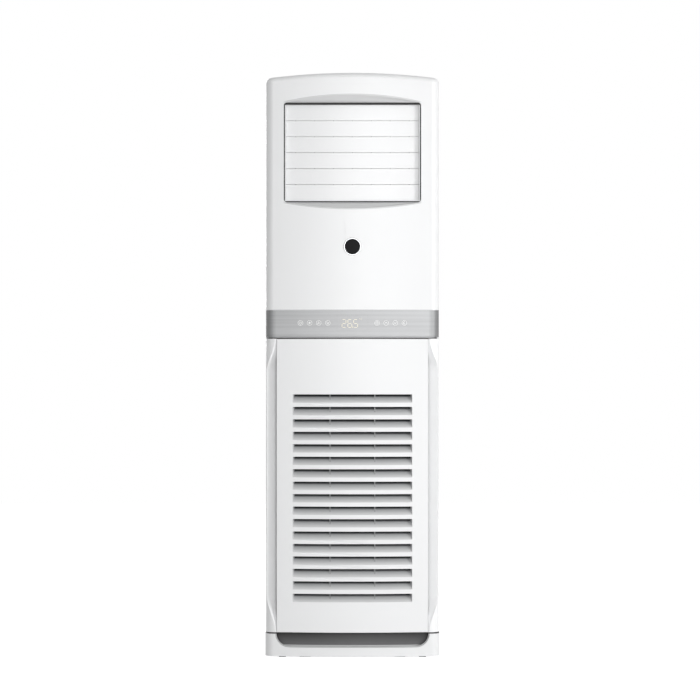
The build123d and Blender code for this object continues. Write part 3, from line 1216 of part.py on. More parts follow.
# ---------------------------------------------------------------- deck, coil and drain
DECK_DEPTH = 64.6              # deck's front edge, just behind the side panels' flanges
DECK_FLANGE = 12.0
HOSE_HOLE = 17.0
PAN_DEPTH = 64.0               # drain pan's front
PAN_LENGTH = 48.0
PAN_HEIGHT = 46.0
PAN_SIDE = 14.0                # pan's ends from the cabinet's sides
PAN_WALL = 2.0
SPOUT_DEPTH = 76.0             # spout's middle, so the hose clears the scroll's plate
SPOUT_SIDE = 26.0
SPOUT_BORE = 12.0
SPOUT_WALL = 1.5
SPOUT_LENGTH = 16.0
HOSE_WALL = 2.5
COIL_FOOT_DEPTH = 87.0         # middle of the coil's lower end
COIL_FOOT_Z = 892.0
COIL_HEAD_DROP = 58.6          # middle of its upper end below the outlet opening
COIL_HEAD_GAP = 46.7           # and in front of the rear face
COIL_THICKNESS = 44.0
COIL_SIDE = 42.0               # fin pack's ends from the cabinet's sides
FIN_COUNT = 73                 # coarser than the real pack, which is about 1.5 mm apart
FIN_THICKNESS = 0.6
FIN_WEB = 3.0                  # plate that stands for the tubes inside the pack
END_PLATE = 1.5
END_PLATE_LAP = 3.0
TUBE_DIAMETER = 9.5
TUBE_PITCH = 30.0
TUBE_ROW = 22.0
FIRST_BEND = 55.0              # first U bend from the coil's foot
LAST_BEND = 55.0               # last one from the liquid pipe, at least
FLANGE_END = 8.0               # mounting flanges from the coil's ends
LIQUID_PIPE = 9.5
LIQUID_DROP = 103.0            # where the pipes leave the coil, from its upper end
LIQUID_NUT = 22.0              # across flats
LIQUID_THREAD = 14.3           # minor diameter of the 5/8-18 thread
SUCTION_PIPE = 15.9
SUCTION_DROP = 30.0
SUCTION_NUT = 27.0
SUCTION_THREAD = 20.3          # minor diameter of the 7/8-14 thread
PIPE_WALL = 1.0
PIPE_SIDE = 22.0               # pipes' fall from the cabinet's left side
PIPE_BEND = 14.0
PIPE_END_Z = 250.0
FLARE_NUT_TOP = 10.0           # nut above the pipe's end
FLARE_THREAD_LENGTH = 14.0     # thread below it
HOSE_LOW_Z = 175.0             # hose runs back at this height
HOSE_BEND = 40.0
HOSE_TURN = 100.0              # from the rear face to where the hose turns inwards
HOSE_END = 30.0                # open end, from the rear face

pan_y = FRONT_Y + PAN_DEPTH
pan_z = DECK_Z + SHEET
spout_y = FRONT_Y + SPOUT_DEPTH
PAN_HALF_WIDTH = HALF_WIDTH - PAN_SIDE
SPOUT_X = SPOUT_SIDE - HALF_WIDTH
PIPE_X = PIPE_SIDE - HALF_WIDTH
COIL_HALF_WIDTH = HALF_WIDTH - COIL_SIDE
coil_foot = Vector(0, FRONT_Y + COIL_FOOT_DEPTH, COIL_FOOT_Z)
coil_head = Vector(0, REAR_Y - COIL_HEAD_GAP, WINDOW_BOTTOM - COIL_HEAD_DROP)
coil_run = coil_head - coil_foot
COIL_LENGTH = coil_run.length
coil_up = coil_run.normalized()
coil_out = Vector(0, -coil_up.Z, coil_up.Y)
coil_plane = Plane(origin=coil_foot, x_dir=(1, 0, 0), z_dir=coil_out)
liquid_start = coil_head - coil_up * LIQUID_DROP
suction_start = coil_head - coil_up * SUCTION_DROP
bend_room = COIL_LENGTH - LIQUID_DROP - FIRST_BEND - LAST_BEND
bend_places = [FIRST_BEND + 2 * TUBE_PITCH * k for k in range(int(bend_room / (2 * TUBE_PITCH)) + 1)]
pipe_runs = [(liquid_start, LIQUID_PIPE), (suction_start, SUCTION_PIPE)]
nut_flats = [LIQUID_NUT, SUCTION_NUT]
nut_threads = [LIQUID_THREAD, SUCTION_THREAD]
hose_diameter = SPOUT_BORE + 2 * SPOUT_WALL + 2 * HOSE_WALL
coil_side_x = COIL_HALF_WIDTH + END_PLATE

with BuildPart() as blower_deck:
    with BuildSketch(Plane.XY.offset(DECK_Z)) as deck_plan:
        add(body_outline(2 * SHEET + FIT))
        with Locations((0, FRONT_Y + DECK_DEPTH)):
            Rectangle(2 * BODY_WIDTH, BODY_DEPTH, align=(Align.CENTER, Align.MAX), mode=Mode.SUBTRACT)
        with Locations((outlet_left_x, pan_y + PAN_LENGTH + FIT)):
            air_length = scroll_y + SCROLL_DEPTH - SCROLL_WALL - pan_y - PAN_LENGTH - FIT
            air_width = outlet_right_x - outlet_left_x
            Rectangle(air_width, air_length, align=(Align.MIN, Align.MIN), mode=Mode.SUBTRACT)
        with Locations((SPOUT_X, spout_y)):
            Circle(HOSE_HOLE / 2, mode=Mode.SUBTRACT)
        for start, diameter in pipe_runs:
            with Locations((PIPE_X, start.Y)):
                Circle(diameter / 2 + PIPE_WALL, mode=Mode.SUBTRACT)
    extrude(amount=SHEET)
    with BuildSketch(Plane.XY.offset(DECK_Z)):
        with Locations((0, FRONT_Y + DECK_DEPTH)):
            Rectangle(2 * post_inner, SHEET, align=(Align.CENTER, Align.MIN))
        with Locations((SPOUT_X, spout_y)):
            Circle(HOSE_HOLE / 2, mode=Mode.SUBTRACT)
    extrude(amount=-DECK_FLANGE)
blower_deck.part.label = "blower_deck"
export_step(blower_deck.part, "parts/blower_deck.step")

with BuildPart() as drain_pan:
    with BuildSketch(Plane.XY.offset(pan_z)):
        with Locations((0, pan_y)):
            Rectangle(2 * PAN_HALF_WIDTH, PAN_LENGTH, align=(Align.CENTER, Align.MIN))
    extrude(amount=PAN_HEIGHT)
    with BuildSketch(Plane.XY.offset(pan_z + PAN_WALL)):
        with Locations((0, pan_y + PAN_WALL)):
            inner_width = 2 * (PAN_HALF_WIDTH - PAN_WALL)
            Rectangle(inner_width, PAN_LENGTH - 2 * PAN_WALL, align=(Align.CENTER, Align.MIN))
    extrude(amount=PAN_HEIGHT, mode=Mode.SUBTRACT)
    with BuildSketch(Plane.XY.offset(pan_z)):
        with Locations((SPOUT_X, spout_y)):
            Circle(SPOUT_BORE / 2 + SPOUT_WALL)
    extrude(amount=-SPOUT_LENGTH)
    with BuildSketch(Plane.XY.offset(pan_z - SPOUT_LENGTH)):
        with Locations((SPOUT_X, spout_y)):
            Circle(SPOUT_BORE / 2)
    extrude(amount=SPOUT_LENGTH + PAN_WALL, mode=Mode.SUBTRACT)
drain_pan.part.label = "drain_pan"
export_step(drain_pan.part, "parts/drain_pan.step")

with BuildPart() as drain_hose:
    hose_top = pan_z - SHEET - RUNNING_GAP
    with BuildLine() as hose_path:
        FilletPolyline(
            (SPOUT_X, spout_y, hose_top),
            (SPOUT_X, spout_y, HOSE_LOW_Z),
            (SPOUT_X, REAR_Y - HOSE_TURN, HOSE_LOW_Z),
            (PIPE_HOLE_X, REAR_Y - HOSE_TURN, PIPE_HOLE_Z),
            (PIPE_HOLE_X, REAR_Y - HOSE_END, PIPE_HOLE_Z),
            radius=HOSE_BEND,
        )
    with BuildSketch(Plane(origin=hose_path.line @ 0, z_dir=hose_path.line % 0)):
        Circle(hose_diameter / 2)
        Circle(SPOUT_BORE / 2 + SPOUT_WALL + FIT / 3, mode=Mode.SUBTRACT)
    sweep(path=hose_path.line)
drain_hose.part.label = "drain_hose"
export_step(drain_hose.part, "parts/drain_hose.step")

fin_pitch = (2 * COIL_HALF_WIDTH - FIN_THICKNESS) / (FIN_COUNT - 1)

with BuildPart() as coil_fins:
    with BuildSketch(Plane(origin=coil_foot, x_dir=(1, 0, 0), z_dir=coil_up)):
        with GridLocations(fin_pitch, 0, FIN_COUNT, 1):
            Rectangle(FIN_THICKNESS, COIL_THICKNESS)
        Rectangle(2 * COIL_HALF_WIDTH - FIN_THICKNESS, FIN_WEB)
    extrude(amount=COIL_LENGTH)
coil_fins.part.label = "coil_fins"
export_step(coil_fins.part, "parts/coil_fins.step")

flange_reach = cabinet_inner - COIL_HALF_WIDTH
flange_x = COIL_HALF_WIDTH + flange_reach / 2
flange_places = [FLANGE_END, COIL_LENGTH - FLANGE_END]

with BuildPart() as coil_end_plates:
    for side in (-1, 1):
        with BuildSketch(coil_plane):
            with Locations((side * (COIL_HALF_WIDTH + END_PLATE / 2), 0)):
                Rectangle(END_PLATE, COIL_LENGTH, align=(Align.CENTER, Align.MIN))
            with Locations([(side * flange_x, place) for place in flange_places]):
                Rectangle(flange_reach, END_PLATE)
        extrude(amount=COIL_THICKNESS / 2 + END_PLATE_LAP, both=True)
coil_end_plates.part.label = "coil_end_plates"
export_step(coil_end_plates.part, "parts/coil_end_plates.step")

with BuildPart() as coil_tubes:
    for side in (-1, 1):
        for row in (-1, 1):
            for place in bend_places:
                middle = coil_foot + coil_up * place + coil_out * (row * TUBE_ROW / 2)
                middle = middle + Vector(side * coil_side_x, 0, 0)
                with BuildSketch(Plane(origin=middle, x_dir=coil_up, z_dir=(side, 0, 0))):
                    with Locations((-side * TUBE_PITCH / 2, 0)):
                        Circle(TUBE_DIAMETER / 2)
                revolve(axis=Axis(middle, coil_out), revolution_arc=180)
coil_tubes.part.label = "coil_tubes"
export_step(coil_tubes.part, "parts/coil_tubes.step")

with BuildPart() as refrigerant_pipes:
    for start, diameter in pipe_runs:
        with BuildLine() as pipe_path:
            FilletPolyline(
                (-coil_side_x, start.Y, start.Z),
                (PIPE_X, start.Y, start.Z),
                (PIPE_X, start.Y, PIPE_END_Z),
                radius=PIPE_BEND,
            )
        with BuildSketch(Plane(origin=pipe_path.line @ 0, z_dir=pipe_path.line % 0)):
            Circle(diameter / 2)
            Circle(diameter / 2 - PIPE_WALL, mode=Mode.SUBTRACT)
        sweep(path=pipe_path.line)
refrigerant_pipes.part.label = "refrigerant_pipes"
export_step(refrigerant_pipes.part, "parts/refrigerant_pipes.step")

with BuildPart() as flare_nuts:
    for (start, diameter), flats, thread in zip(pipe_runs, nut_flats, nut_threads):
        for bore, length in ((diameter + FIT, FLARE_NUT_TOP), (thread, -FLARE_THREAD_LENGTH)):
            with BuildSketch(Plane.XY.offset(PIPE_END_Z)):
                with Locations((PIPE_X, start.Y)):
                    RegularPolygon(flats / 2, 6, major_radius=False)
                    Circle(bore / 2, mode=Mode.SUBTRACT)
            extrude(amount=length)
flare_nuts.part.label = "flare_nuts"
export_step(flare_nuts.part, "parts/flare_nuts.step")

# ---------------------------------------------------------------- rear fittings
GROMMET_WALL = 4.0
GROMMET_LIP = 4.0
GROMMET_LIP_WALL = 1.2
BRACKET_PLATE_WIDTH = 180.0
BRACKET_PLATE_HEIGHT = 44.0
BRACKET_PLATE = 1.0
SCREW_HEAD = 7.0
SCREW_HEAD_HEIGHT = 1.0
SCREW_SHANK = 3.5
SCREW_LENGTH = 6.0

grommet_bore = PIPE_HOLE_DIAMETER / 2 - GROMMET_WALL

with BuildPart() as pipe_grommet:
    hole_middle = (-PIPE_HOLE_X, PIPE_HOLE_Z)
    with BuildSketch(rear_plane(SHEET + GROMMET_LIP_WALL)):
        with Locations(hole_middle):
            Circle(PIPE_HOLE_DIAMETER / 2 - INLAY_GAP)
    extrude(amount=SHEET + 2 * GROMMET_LIP_WALL)
    with BuildSketch(rear_plane(), rear_plane(SHEET + GROMMET_LIP_WALL)):
        with Locations(hole_middle):
            Circle(PIPE_HOLE_DIAMETER / 2 + GROMMET_LIP)
    extrude(amount=GROMMET_LIP_WALL)
    with BuildSketch(rear_plane(-SHEET)):
        with Locations(hole_middle):
            Circle(grommet_bore)
    extrude(amount=-SEAM_DEPTH, mode=Mode.SUBTRACT)
pipe_grommet.part.label = "pipe_grommet"
export_step(pipe_grommet.part, "parts/pipe_grommet.step")

with BuildPart() as wall_bracket:
    with BuildSketch(rear_plane()) as bracket_face:
        with Locations((0, BRACKET_Z)):
            RectangleRounded(BRACKET_PLATE_WIDTH, BRACKET_PLATE_HEIGHT, KEYHOLE_SLOT)
        with Locations([(x * BRACKET_SCREW_PITCH / 2, BRACKET_Z) for x in (-1, 1)]):
            Circle(SCREW_HOLE / 2, mode=Mode.SUBTRACT)
        with Locations([(x * KEYHOLE_PITCH / 2, BRACKET_Z) for x in (-1, 1)]):
            Circle(KEYHOLE_SLOT / 2, mode=Mode.SUBTRACT)
    extrude(amount=BRACKET_PLATE)
    with BuildSketch(rear_plane()):
        with Locations([(x * KEYHOLE_PITCH / 2, BRACKET_Z - KEYHOLE_RISE) for x in (-1, 1)]):
            Circle(KEYHOLE_HEAD / 2)
        with Locations([(x * KEYHOLE_PITCH / 2, BRACKET_Z) for x in (-1, 1)]):
            Rectangle(KEYHOLE_SLOT, KEYHOLE_RISE, align=(Align.CENTER, Align.MAX))
    extrude(amount=BRACKET_PLATE, mode=Mode.SUBTRACT)
wall_bracket.part.label = "wall_bracket"
export_step(wall_bracket.part, "parts/wall_bracket.step")

with BuildPart() as screws:
    bracket_screws = [(x * BRACKET_SCREW_PITCH / 2, BRACKET_Z) for x in (-1, 1)]
    for places, seat in ((rear_screws, 0), (bracket_screws, BRACKET_PLATE)):
        with BuildSketch(rear_plane(-seat)):
            with Locations([(-x, z) for x, z in places]):
                Circle(SCREW_HEAD / 2)
        extrude(amount=SCREW_HEAD_HEIGHT)
        with BuildSketch(rear_plane(-seat)):
            with Locations([(-x, z) for x, z in places]):
                Circle(SCREW_SHANK / 2)
        extrude(amount=-SCREW_LENGTH)
screws.part.label = "screws"
export_step(screws.part, "parts/screws.step")

# ---------------------------------------------------------------- electronics
BOX_SIDE = 44.0                # control box from the cabinet's left side
BOX_MIDDLE = 20.0              # and from the middle
BOX_HEIGHT = 180.0
BOX_DEPTH = 62.0
BOX_WALL = 1.2
COVER_RIM = 8.0
TERMINAL_LENGTH = 110.0
TERMINAL_HEIGHT = 28.0
TERMINAL_DEPTH = 20.0
TERMINAL_POSTS = 5
TERMINAL_POST = 12.0

box_middle_x = (BOX_SIDE - HALF_WIDTH - BOX_MIDDLE) / 2
box_width = HALF_WIDTH - BOX_SIDE - BOX_MIDDLE
box_bottom = DECK_Z - BOX_HEIGHT
box_front_depth = SCROLL_FRONT_DEPTH + BOX_WALL

with BuildPart() as control_box:
    with BuildSketch(front_plane(box_front_depth)):
        with Locations((box_middle_x, box_bottom)):
            Rectangle(box_width, BOX_HEIGHT, align=(Align.CENTER, Align.MIN))
    extrude(amount=-BOX_DEPTH)
    with BuildSketch(front_plane(box_front_depth)):
        with Locations((box_middle_x, box_bottom + BOX_WALL)):
            Rectangle(box_width - 2 * BOX_WALL, BOX_HEIGHT - 2 * BOX_WALL, align=(Align.CENTER, Align.MIN))
    extrude(amount=-(BOX_DEPTH - BOX_WALL), mode=Mode.SUBTRACT)
control_box.part.label = "control_box"
export_step(control_box.part, "parts/control_box.step")

with BuildPart() as control_box_cover:
    with BuildSketch(front_plane(box_front_depth)):
        with Locations((box_middle_x, box_bottom)):
            Rectangle(box_width, BOX_HEIGHT - DECK_FLANGE - FIT, align=(Align.CENTER, Align.MIN))
    extrude(amount=BOX_WALL)
    with BuildSketch(front_plane(box_front_depth)):
        with Locations((box_middle_x, box_bottom + BOX_HEIGHT / 2)):
            rim_width = box_width - 2 * (BOX_WALL + FIT)
            rim_height = BOX_HEIGHT - 2 * (BOX_WALL + FIT + DECK_FLANGE)
            Rectangle(rim_width, rim_height)
            Rectangle(rim_width - 2 * BOX_WALL, rim_height - 2 * BOX_WALL, mode=Mode.SUBTRACT)
    extrude(amount=-COVER_RIM)
control_box_cover.part.label = "control_box_cover"
export_step(control_box_cover.part, "parts/control_box_cover.step")

with BuildPart() as terminal_block:
    terminal_back = box_front_depth + BOX_DEPTH - BOX_WALL
    with BuildSketch(front_plane(terminal_back)):
        with Locations((box_middle_x, box_bottom + 2 * TERMINAL_HEIGHT)):
            Rectangle(TERMINAL_LENGTH, TERMINAL_HEIGHT)
    extrude(amount=TERMINAL_DEPTH)
    with BuildSketch(front_plane(terminal_back - TERMINAL_DEPTH)):
        with Locations((box_middle_x, box_bottom + 2 * TERMINAL_HEIGHT)):
            with GridLocations(TERMINAL_LENGTH / TERMINAL_POSTS, 0, TERMINAL_POSTS, 1):
                Rectangle(TERMINAL_POST, TERMINAL_POST)
    extrude(amount=-TERMINAL_DEPTH / 2, mode=Mode.SUBTRACT)
terminal_block.part.label = "terminal_block"
export_step(terminal_block.part, "parts/terminal_block.step")
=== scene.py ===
"""Floor standing air conditioner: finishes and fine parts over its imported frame."""
import math

import bmesh
import bpy
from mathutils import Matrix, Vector


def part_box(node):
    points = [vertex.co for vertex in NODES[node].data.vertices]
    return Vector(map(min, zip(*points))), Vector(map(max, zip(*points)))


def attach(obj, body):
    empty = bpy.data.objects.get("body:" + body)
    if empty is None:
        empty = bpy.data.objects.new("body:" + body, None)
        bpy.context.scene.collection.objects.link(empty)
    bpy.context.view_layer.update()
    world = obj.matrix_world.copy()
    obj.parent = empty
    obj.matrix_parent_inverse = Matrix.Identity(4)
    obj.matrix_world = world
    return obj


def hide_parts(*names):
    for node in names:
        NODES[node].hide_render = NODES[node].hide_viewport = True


bl_info = {
    "name": "Floor Standing Air Conditioner",
    "version": (1, 0, 0),
    "blender": (4, 5, 0),
    "location": "View3D > Sidebar > Air Conditioner",
    "description": "Finishes, digits, filter net, fin pack and studio of an air conditioner",
    "category": "Object",
}

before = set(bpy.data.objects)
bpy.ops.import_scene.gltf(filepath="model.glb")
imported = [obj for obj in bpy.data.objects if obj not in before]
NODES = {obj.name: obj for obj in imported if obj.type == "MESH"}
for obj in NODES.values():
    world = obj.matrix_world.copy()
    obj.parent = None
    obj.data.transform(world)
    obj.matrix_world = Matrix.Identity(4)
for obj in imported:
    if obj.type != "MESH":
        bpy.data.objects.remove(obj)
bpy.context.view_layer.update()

# The front is bowed: an arc with its middle on the cabinet's middle line, in metres
BOW_RADIUS = 1.213
FRONT_Y = -0.163
BOW_CENTRE_Y = FRONT_Y + BOW_RADIUS
MM = 0.001


def front_y(x):
    """y of the bowed front face at x."""
    return BOW_CENTRE_Y - math.sqrt(BOW_RADIUS**2 - x * x)


# ---------------- nodes
def feed(tree, socket, value):
    """Links an output to the socket, or sets the socket's value."""
    if isinstance(value, Signal):
        value = value.socket
    if isinstance(value, bpy.types.NodeSocket):
        tree.links.new(value, socket)
    elif socket.type == "RGBA" and len(value) == 3:
        socket.default_value = (*value, 1.0)
    else:
        socket.default_value = value


def add_node(tree, kind, settings=None, inputs=None):
    """A node: its settings first, then the values or links of its sockets."""
    node = tree.nodes.new(kind)
    for key, value in (settings or {}).items():
        setattr(node, key, value)
    for key, value in (inputs or {}).items():
        feed(tree, node.inputs[key], value)
    return node


class Signal:
    """A shader output that Python expressions can work with."""

    def __init__(self, finish, socket):
        self.finish = finish
        self.socket = socket

    def math(self, operation, *others, clamp=False):
        inputs = dict(enumerate((self, *others)))
        settings = {"operation": operation, "use_clamp": clamp}
        return self.finish.signal("ShaderNodeMath", settings, inputs)

    def __add__(self, other):
        return self.math("ADD", other)

    def __sub__(self, other):
        return self.math("SUBTRACT", other)

    def __mul__(self, other):
        return self.math("MULTIPLY", other)

    def __truediv__(self, other):
        return self.math("DIVIDE", other)

    def __rsub__(self, other):
        return self.finish.signal("ShaderNodeMath", {"operation": "SUBTRACT"}, {0: other, 1: self})

    __radd__ = __add__
    __rmul__ = __mul__

    def above(self, edge, soft):
        """0 below the edge, rising to 1 over the soft width."""
        return (self - edge).math("DIVIDE", soft, clamp=True)

    def below(self, edge, soft):
        """0 above the edge, rising to 1 over the soft width."""
        return (edge - self).math("DIVIDE", soft, clamp=True)


# Numbers of the Mix node's sockets for colours
MIX_FACTOR, MIX_FIRST, MIX_SECOND, MIX_RESULT = 0, 6, 7, 2


class Finish:
    """One node material with a single principled shader."""

    def __init__(self, name):
        self.material = bpy.data.materials.new(name)
        self.material.use_nodes = True
        self.tree = self.material.node_tree
        self.shader = self.tree.nodes["Principled BSDF"]
        place = self.node("ShaderNodeTexCoord")
        self.place = Signal(self, place.outputs["Object"])
        split = self.node("ShaderNodeSeparateXYZ", inputs={0: self.place})
        self.x, self.y, self.z = (Signal(self, socket) for socket in split.outputs)

    def node(self, kind, settings=None, inputs=None):
        return add_node(self.tree, kind, settings, inputs)

    def signal(self, kind, settings=None, inputs=None, output=0):
        return Signal(self, self.node(kind, settings, inputs).outputs[output])

    def set(self, **values):
        """Constants and links on the shader's own sockets, spaces written as _."""
        for key, value in values.items():
            feed(self.tree, self.shader.inputs[key.replace("_", " ")], value)
        return self

    def noise(self, scale, detail, stretch=(1, 1, 1), roughness=0.5):
        """Soft noise from 0 to 1, with more repeats along the axes with the larger stretch."""
        place = self.node(
            "ShaderNodeMapping", inputs={"Vector": self.place, "Scale": Vector(stretch)}
        )
        inputs = {
            "Vector": Signal(self, place.outputs[0]),
            "Scale": scale,
            "Detail": detail,
            "Roughness": roughness,
        }
        return self.signal("ShaderNodeTexNoise", inputs=inputs)

    def cells(self, scale, feature="DISTANCE_TO_EDGE", output="Distance"):
        """Irregular cells, such as beads, tracks or flakes."""
        inputs = {"Vector": self.place, "Scale": scale}
        return self.signal("ShaderNodeTexVoronoi", {"feature": feature}, inputs, output)

    def mix(self, factor, first, second):
        """Blend of two colours; the Mix node has its own sockets for each kind of value."""
        inputs = {MIX_FACTOR: factor, MIX_FIRST: first, MIX_SECOND: second}
        return self.signal("ShaderNodeMix", {"data_type": "RGBA"}, inputs, MIX_RESULT)

    def drift(self, colour):
        """Slow, faint drift of tone over a large moulding."""
        return self.mix(self.noise(2.2, 2.0), shade(colour, 0.985), shade(colour, 1.01))

    def bump(self, height, strength, distance):
        inputs = {"Height": height, "Strength": strength, "Distance": distance}
        return self.signal("ShaderNodeBump", inputs=inputs)

    def behind_front(self):
        """Depth behind the bowed front, all over the cabinet."""
        across = self.x * self.x
        along = self.y - BOW_CENTRE_Y
        return BOW_RADIUS - (across + along * along).math("SQRT")


def shade(colour, factor):
    """The colour made darker or lighter."""
    return tuple(min(1.0, channel * factor) for channel in colour)


def grained(name, roughness=0.34, grain=0.10):
    """Moulded plastic before its colour is set: fine spark-eroded grain and handling marks."""
    finish = Finish(name)
    marks = finish.noise(14.0, 4.0, roughness=0.65)
    return finish.set(
        Roughness=marks * 0.10 + (roughness - 0.05),
        Normal=finish.bump(finish.noise(1500.0, 1.0), grain, 0.0004),
    )


def moulded(name, colour, roughness=0.34, grain=0.10):
    """Moulded plastic of one colour."""
    finish = grained(name, roughness, grain)
    return finish.set(Base_Color=finish.drift(colour))


def powder_coated(name, colour):
    """Powder-coated sheet steel: soft orange peel and a little pressing wave."""
    finish = Finish(name)
    wave = finish.noise(3.0, 1.0)
    peel = finish.noise(420.0, 2.0)
    return finish.set(
        Base_Color=finish.mix(wave, shade(colour, 0.985), colour),
        Roughness=finish.noise(9.0, 3.0) * 0.10 + 0.36,
        Normal=finish.bump(peel, 0.12, 0.0006),
    )


def brushed(name, colour, stretch, roughness):
    """Turned or drawn metal: hair lines that run along the axis with the small stretch."""
    finish = Finish(name)
    hair = finish.noise(1.0, 3.0, stretch, 0.7)
    broad = finish.noise(1.0, 1.0, tuple(value * 0.12 for value in stretch))
    tone = hair * 0.16 + broad * 0.128
    return finish.set(
        Base_Color=finish.mix(tone, shade(colour, 0.90), shade(colour, 1.10)),
        Metallic=0.75,
        Roughness=hair * 0.16 + roughness,
        Normal=finish.bump(hair, 0.08, 0.0002),
    )


# Control band: the rims above and below its foil, and where its ends turn back; painted light and
# shade go there
BAND_HEAD, BAND_FOOT = 1.0392, 0.9572
BAND_HALF_WIDTH = 0.26
BAND_TURN = 0.228
BAND_GAP_PAINTED_SHADOW = (0.05, 0.05, 0.05)


def band_metal(look):
    """Brushed foil of the control band: long level hair lines, painted shade on the left and the
    turned ends, a painted highlight on the upper rim and painted shadow below the foot.
    """
    finish = Finish("brushed_band")
    hair = finish.noise(1.0, 3.0, (4.0, 4.0, 620.0), 0.7)
    broad = finish.noise(1.0, 2.0, (1.5, 1.5, 150.0))
    # painted shade: darker towards the left
    across = finish.x.above(-BAND_HALF_WIDTH, 2 * BAND_HALF_WIDTH)
    # painted shade: darker where the ends turn back
    ends = finish.x.math("ABSOLUTE").above(BAND_TURN, 0.022)
    lines = (hair + broad).above(0.70, 0.60) * look.hair_lines
    tone = finish.mix(across, shade(look.silver, 0.86), look.silver)
    tone = finish.mix(lines, tone, shade(look.silver, 1.30))
    tone = finish.mix(ends * 0.70, tone, shade(look.silver, 0.30))
    # painted highlight: lighter on the upper rim
    tone = finish.mix(finish.z.above(BAND_HEAD, 0.0004), tone, shade(look.silver, 1.3))
    # painted shadow: dark below the foot
    return finish.set(
        Base_Color=finish.mix(finish.z.below(BAND_FOOT, 0.0006), tone, BAND_GAP_PAINTED_SHADOW),
        Metallic=0.40,
        Roughness=hair * 0.16 + 0.46,
        Normal=finish.bump(hair, 0.08, 0.0002),
    )


def bare_metal(name, colour, roughness, spangle=0.0):
    """Plain or zinc-coated metal, with the flaky pattern of zinc where spangle asks for it."""
    finish = Finish(name)
    cloud = finish.noise(30.0, 3.0)
    tone = finish.mix(cloud, shade(colour, 0.93), shade(colour, 1.05))
    if spangle:
        flakes = finish.cells(110.0, "F1", "Color").math("MULTIPLY", 1.0)  # each flake's own grey
        tone = finish.mix(spangle, tone, flakes)
    return finish.set(
        Base_Color=tone,
        Metallic=0.9,
        Roughness=cloud * 0.14 + roughness,
        Normal=finish.bump(cloud, 0.05, 0.0003),
    )


def plain(name, colour, roughness, grain=0.2, scale=700.0):
    """Matt plastic, foam or rubber with an even fine surface."""
    finish = Finish(name)
    cloud = finish.noise(12.0, 3.0)
    return finish.set(
        Base_Color=finish.mix(cloud, shade(colour, 0.92), shade(colour, 1.06)),
        Roughness=cloud * 0.12 + (roughness - 0.06),
        Normal=finish.bump(finish.noise(scale, 2.0), grain, 0.0006),
    )


# Specular level of the mouldings whose hollows have painted shade
SHADED_GLOSS = 0.34
# painted shade: the near black that stands for deep shadow in the intake's hollows
DEEP_PAINTED_SHADE = (0.012, 0.012, 0.0125)

# Intake panel, where painted shade goes: the louvres' field, its slots, the stays behind them and
# the panel's upper return
FIELD_SIDE = 0.189
FIELD_FOOT, FIELD_HEAD = 0.151, 0.791
SLOT_FOOT, SLOT_PITCH, SLOT_SHARE = 0.1655, 0.0373, 0.680
LOUVRE_FRONT, LOUVRE_ROOT = 0.0005, 0.0135
GUSSET_SIDE, GUSSET_FRONT = 0.1785, 0.0012
STAY_INNER, STAY_OUTER, STAY_FRONT = 0.0646, 0.0690, 0.0075
UPPER_RETURN = 0.9528


def intake_white(colour, shadow):
    """Body white with painted shade that turns it to dark grey where the louvres run back to the
    filter.
    """
    # painted light: the intake's white is made a little lighter than the body's
    colour = shade(colour, 1.03)
    finish = grained("body_white_intake")
    depth = finish.behind_front()
    side = finish.x.math("ABSOLUTE")
    field = side.below(FIELD_SIDE, 0.001)
    field = field * finish.z.above(FIELD_FOOT, 0.001) * finish.z.below(FIELD_HEAD, 0.001)
    rise = ((finish.z - SLOT_FOOT) / SLOT_PITCH).math("FRACT")

    # painted shade: the louvres' sloping faces are a little greyer than the panel's face
    louvre = field * depth.above(LOUVRE_FRONT, 0.0004) * rise.below(SLOT_SHARE, 0.010)
    # painted shade: darker with depth behind the front, towards the shadow colour
    inside = (depth.above(0.0035, 0.0165) * field).math("POWER", 0.9)
    toned = finish.mix(louvre, finish.drift(colour), shade(colour, 0.80))
    toned = finish.mix(inside, toned, shadow)

    # painted shadow, near black: at the slots' roots, on the stays behind the slots, at the
    # louvres' right ends and on the panel's upper return
    root = field * depth.above(LOUVRE_ROOT, 0.0045)
    gusset = field * depth.above(GUSSET_FRONT, 0.0010) * finish.x.above(GUSSET_SIDE, 0.0010)
    stay = side.above(STAY_INNER, 0.0004) * side.below(STAY_OUTER, 0.0004)
    stay = field * depth.above(STAY_FRONT, 0.0010) * stay * rise
    upper_return = finish.z.above(UPPER_RETURN, 0.0004)
    dark = root * 0.9 + stay * 0.9 + gusset * 0.72 + upper_return * 0.9
    return finish.set(
        Base_Color=finish.mix(dark.math("MINIMUM", 1.0), toned, DEEP_PAINTED_SHADE),
        Specular_IOR_Level=SHADED_GLOSS,
    )


# Plinth: the kick recess in its front, painted with shade, and the painted shadow line at the seam
# on its head
RECESS_SIDE, RECESS_FOOT, RECESS_BACK = 0.2325, 0.0288, -0.06
RECESS_RIM, RECESS_INSIDE, RECESS_LIP = 0.0006, 0.0075, 0.0350
PLINTH_HEAD = 0.0698


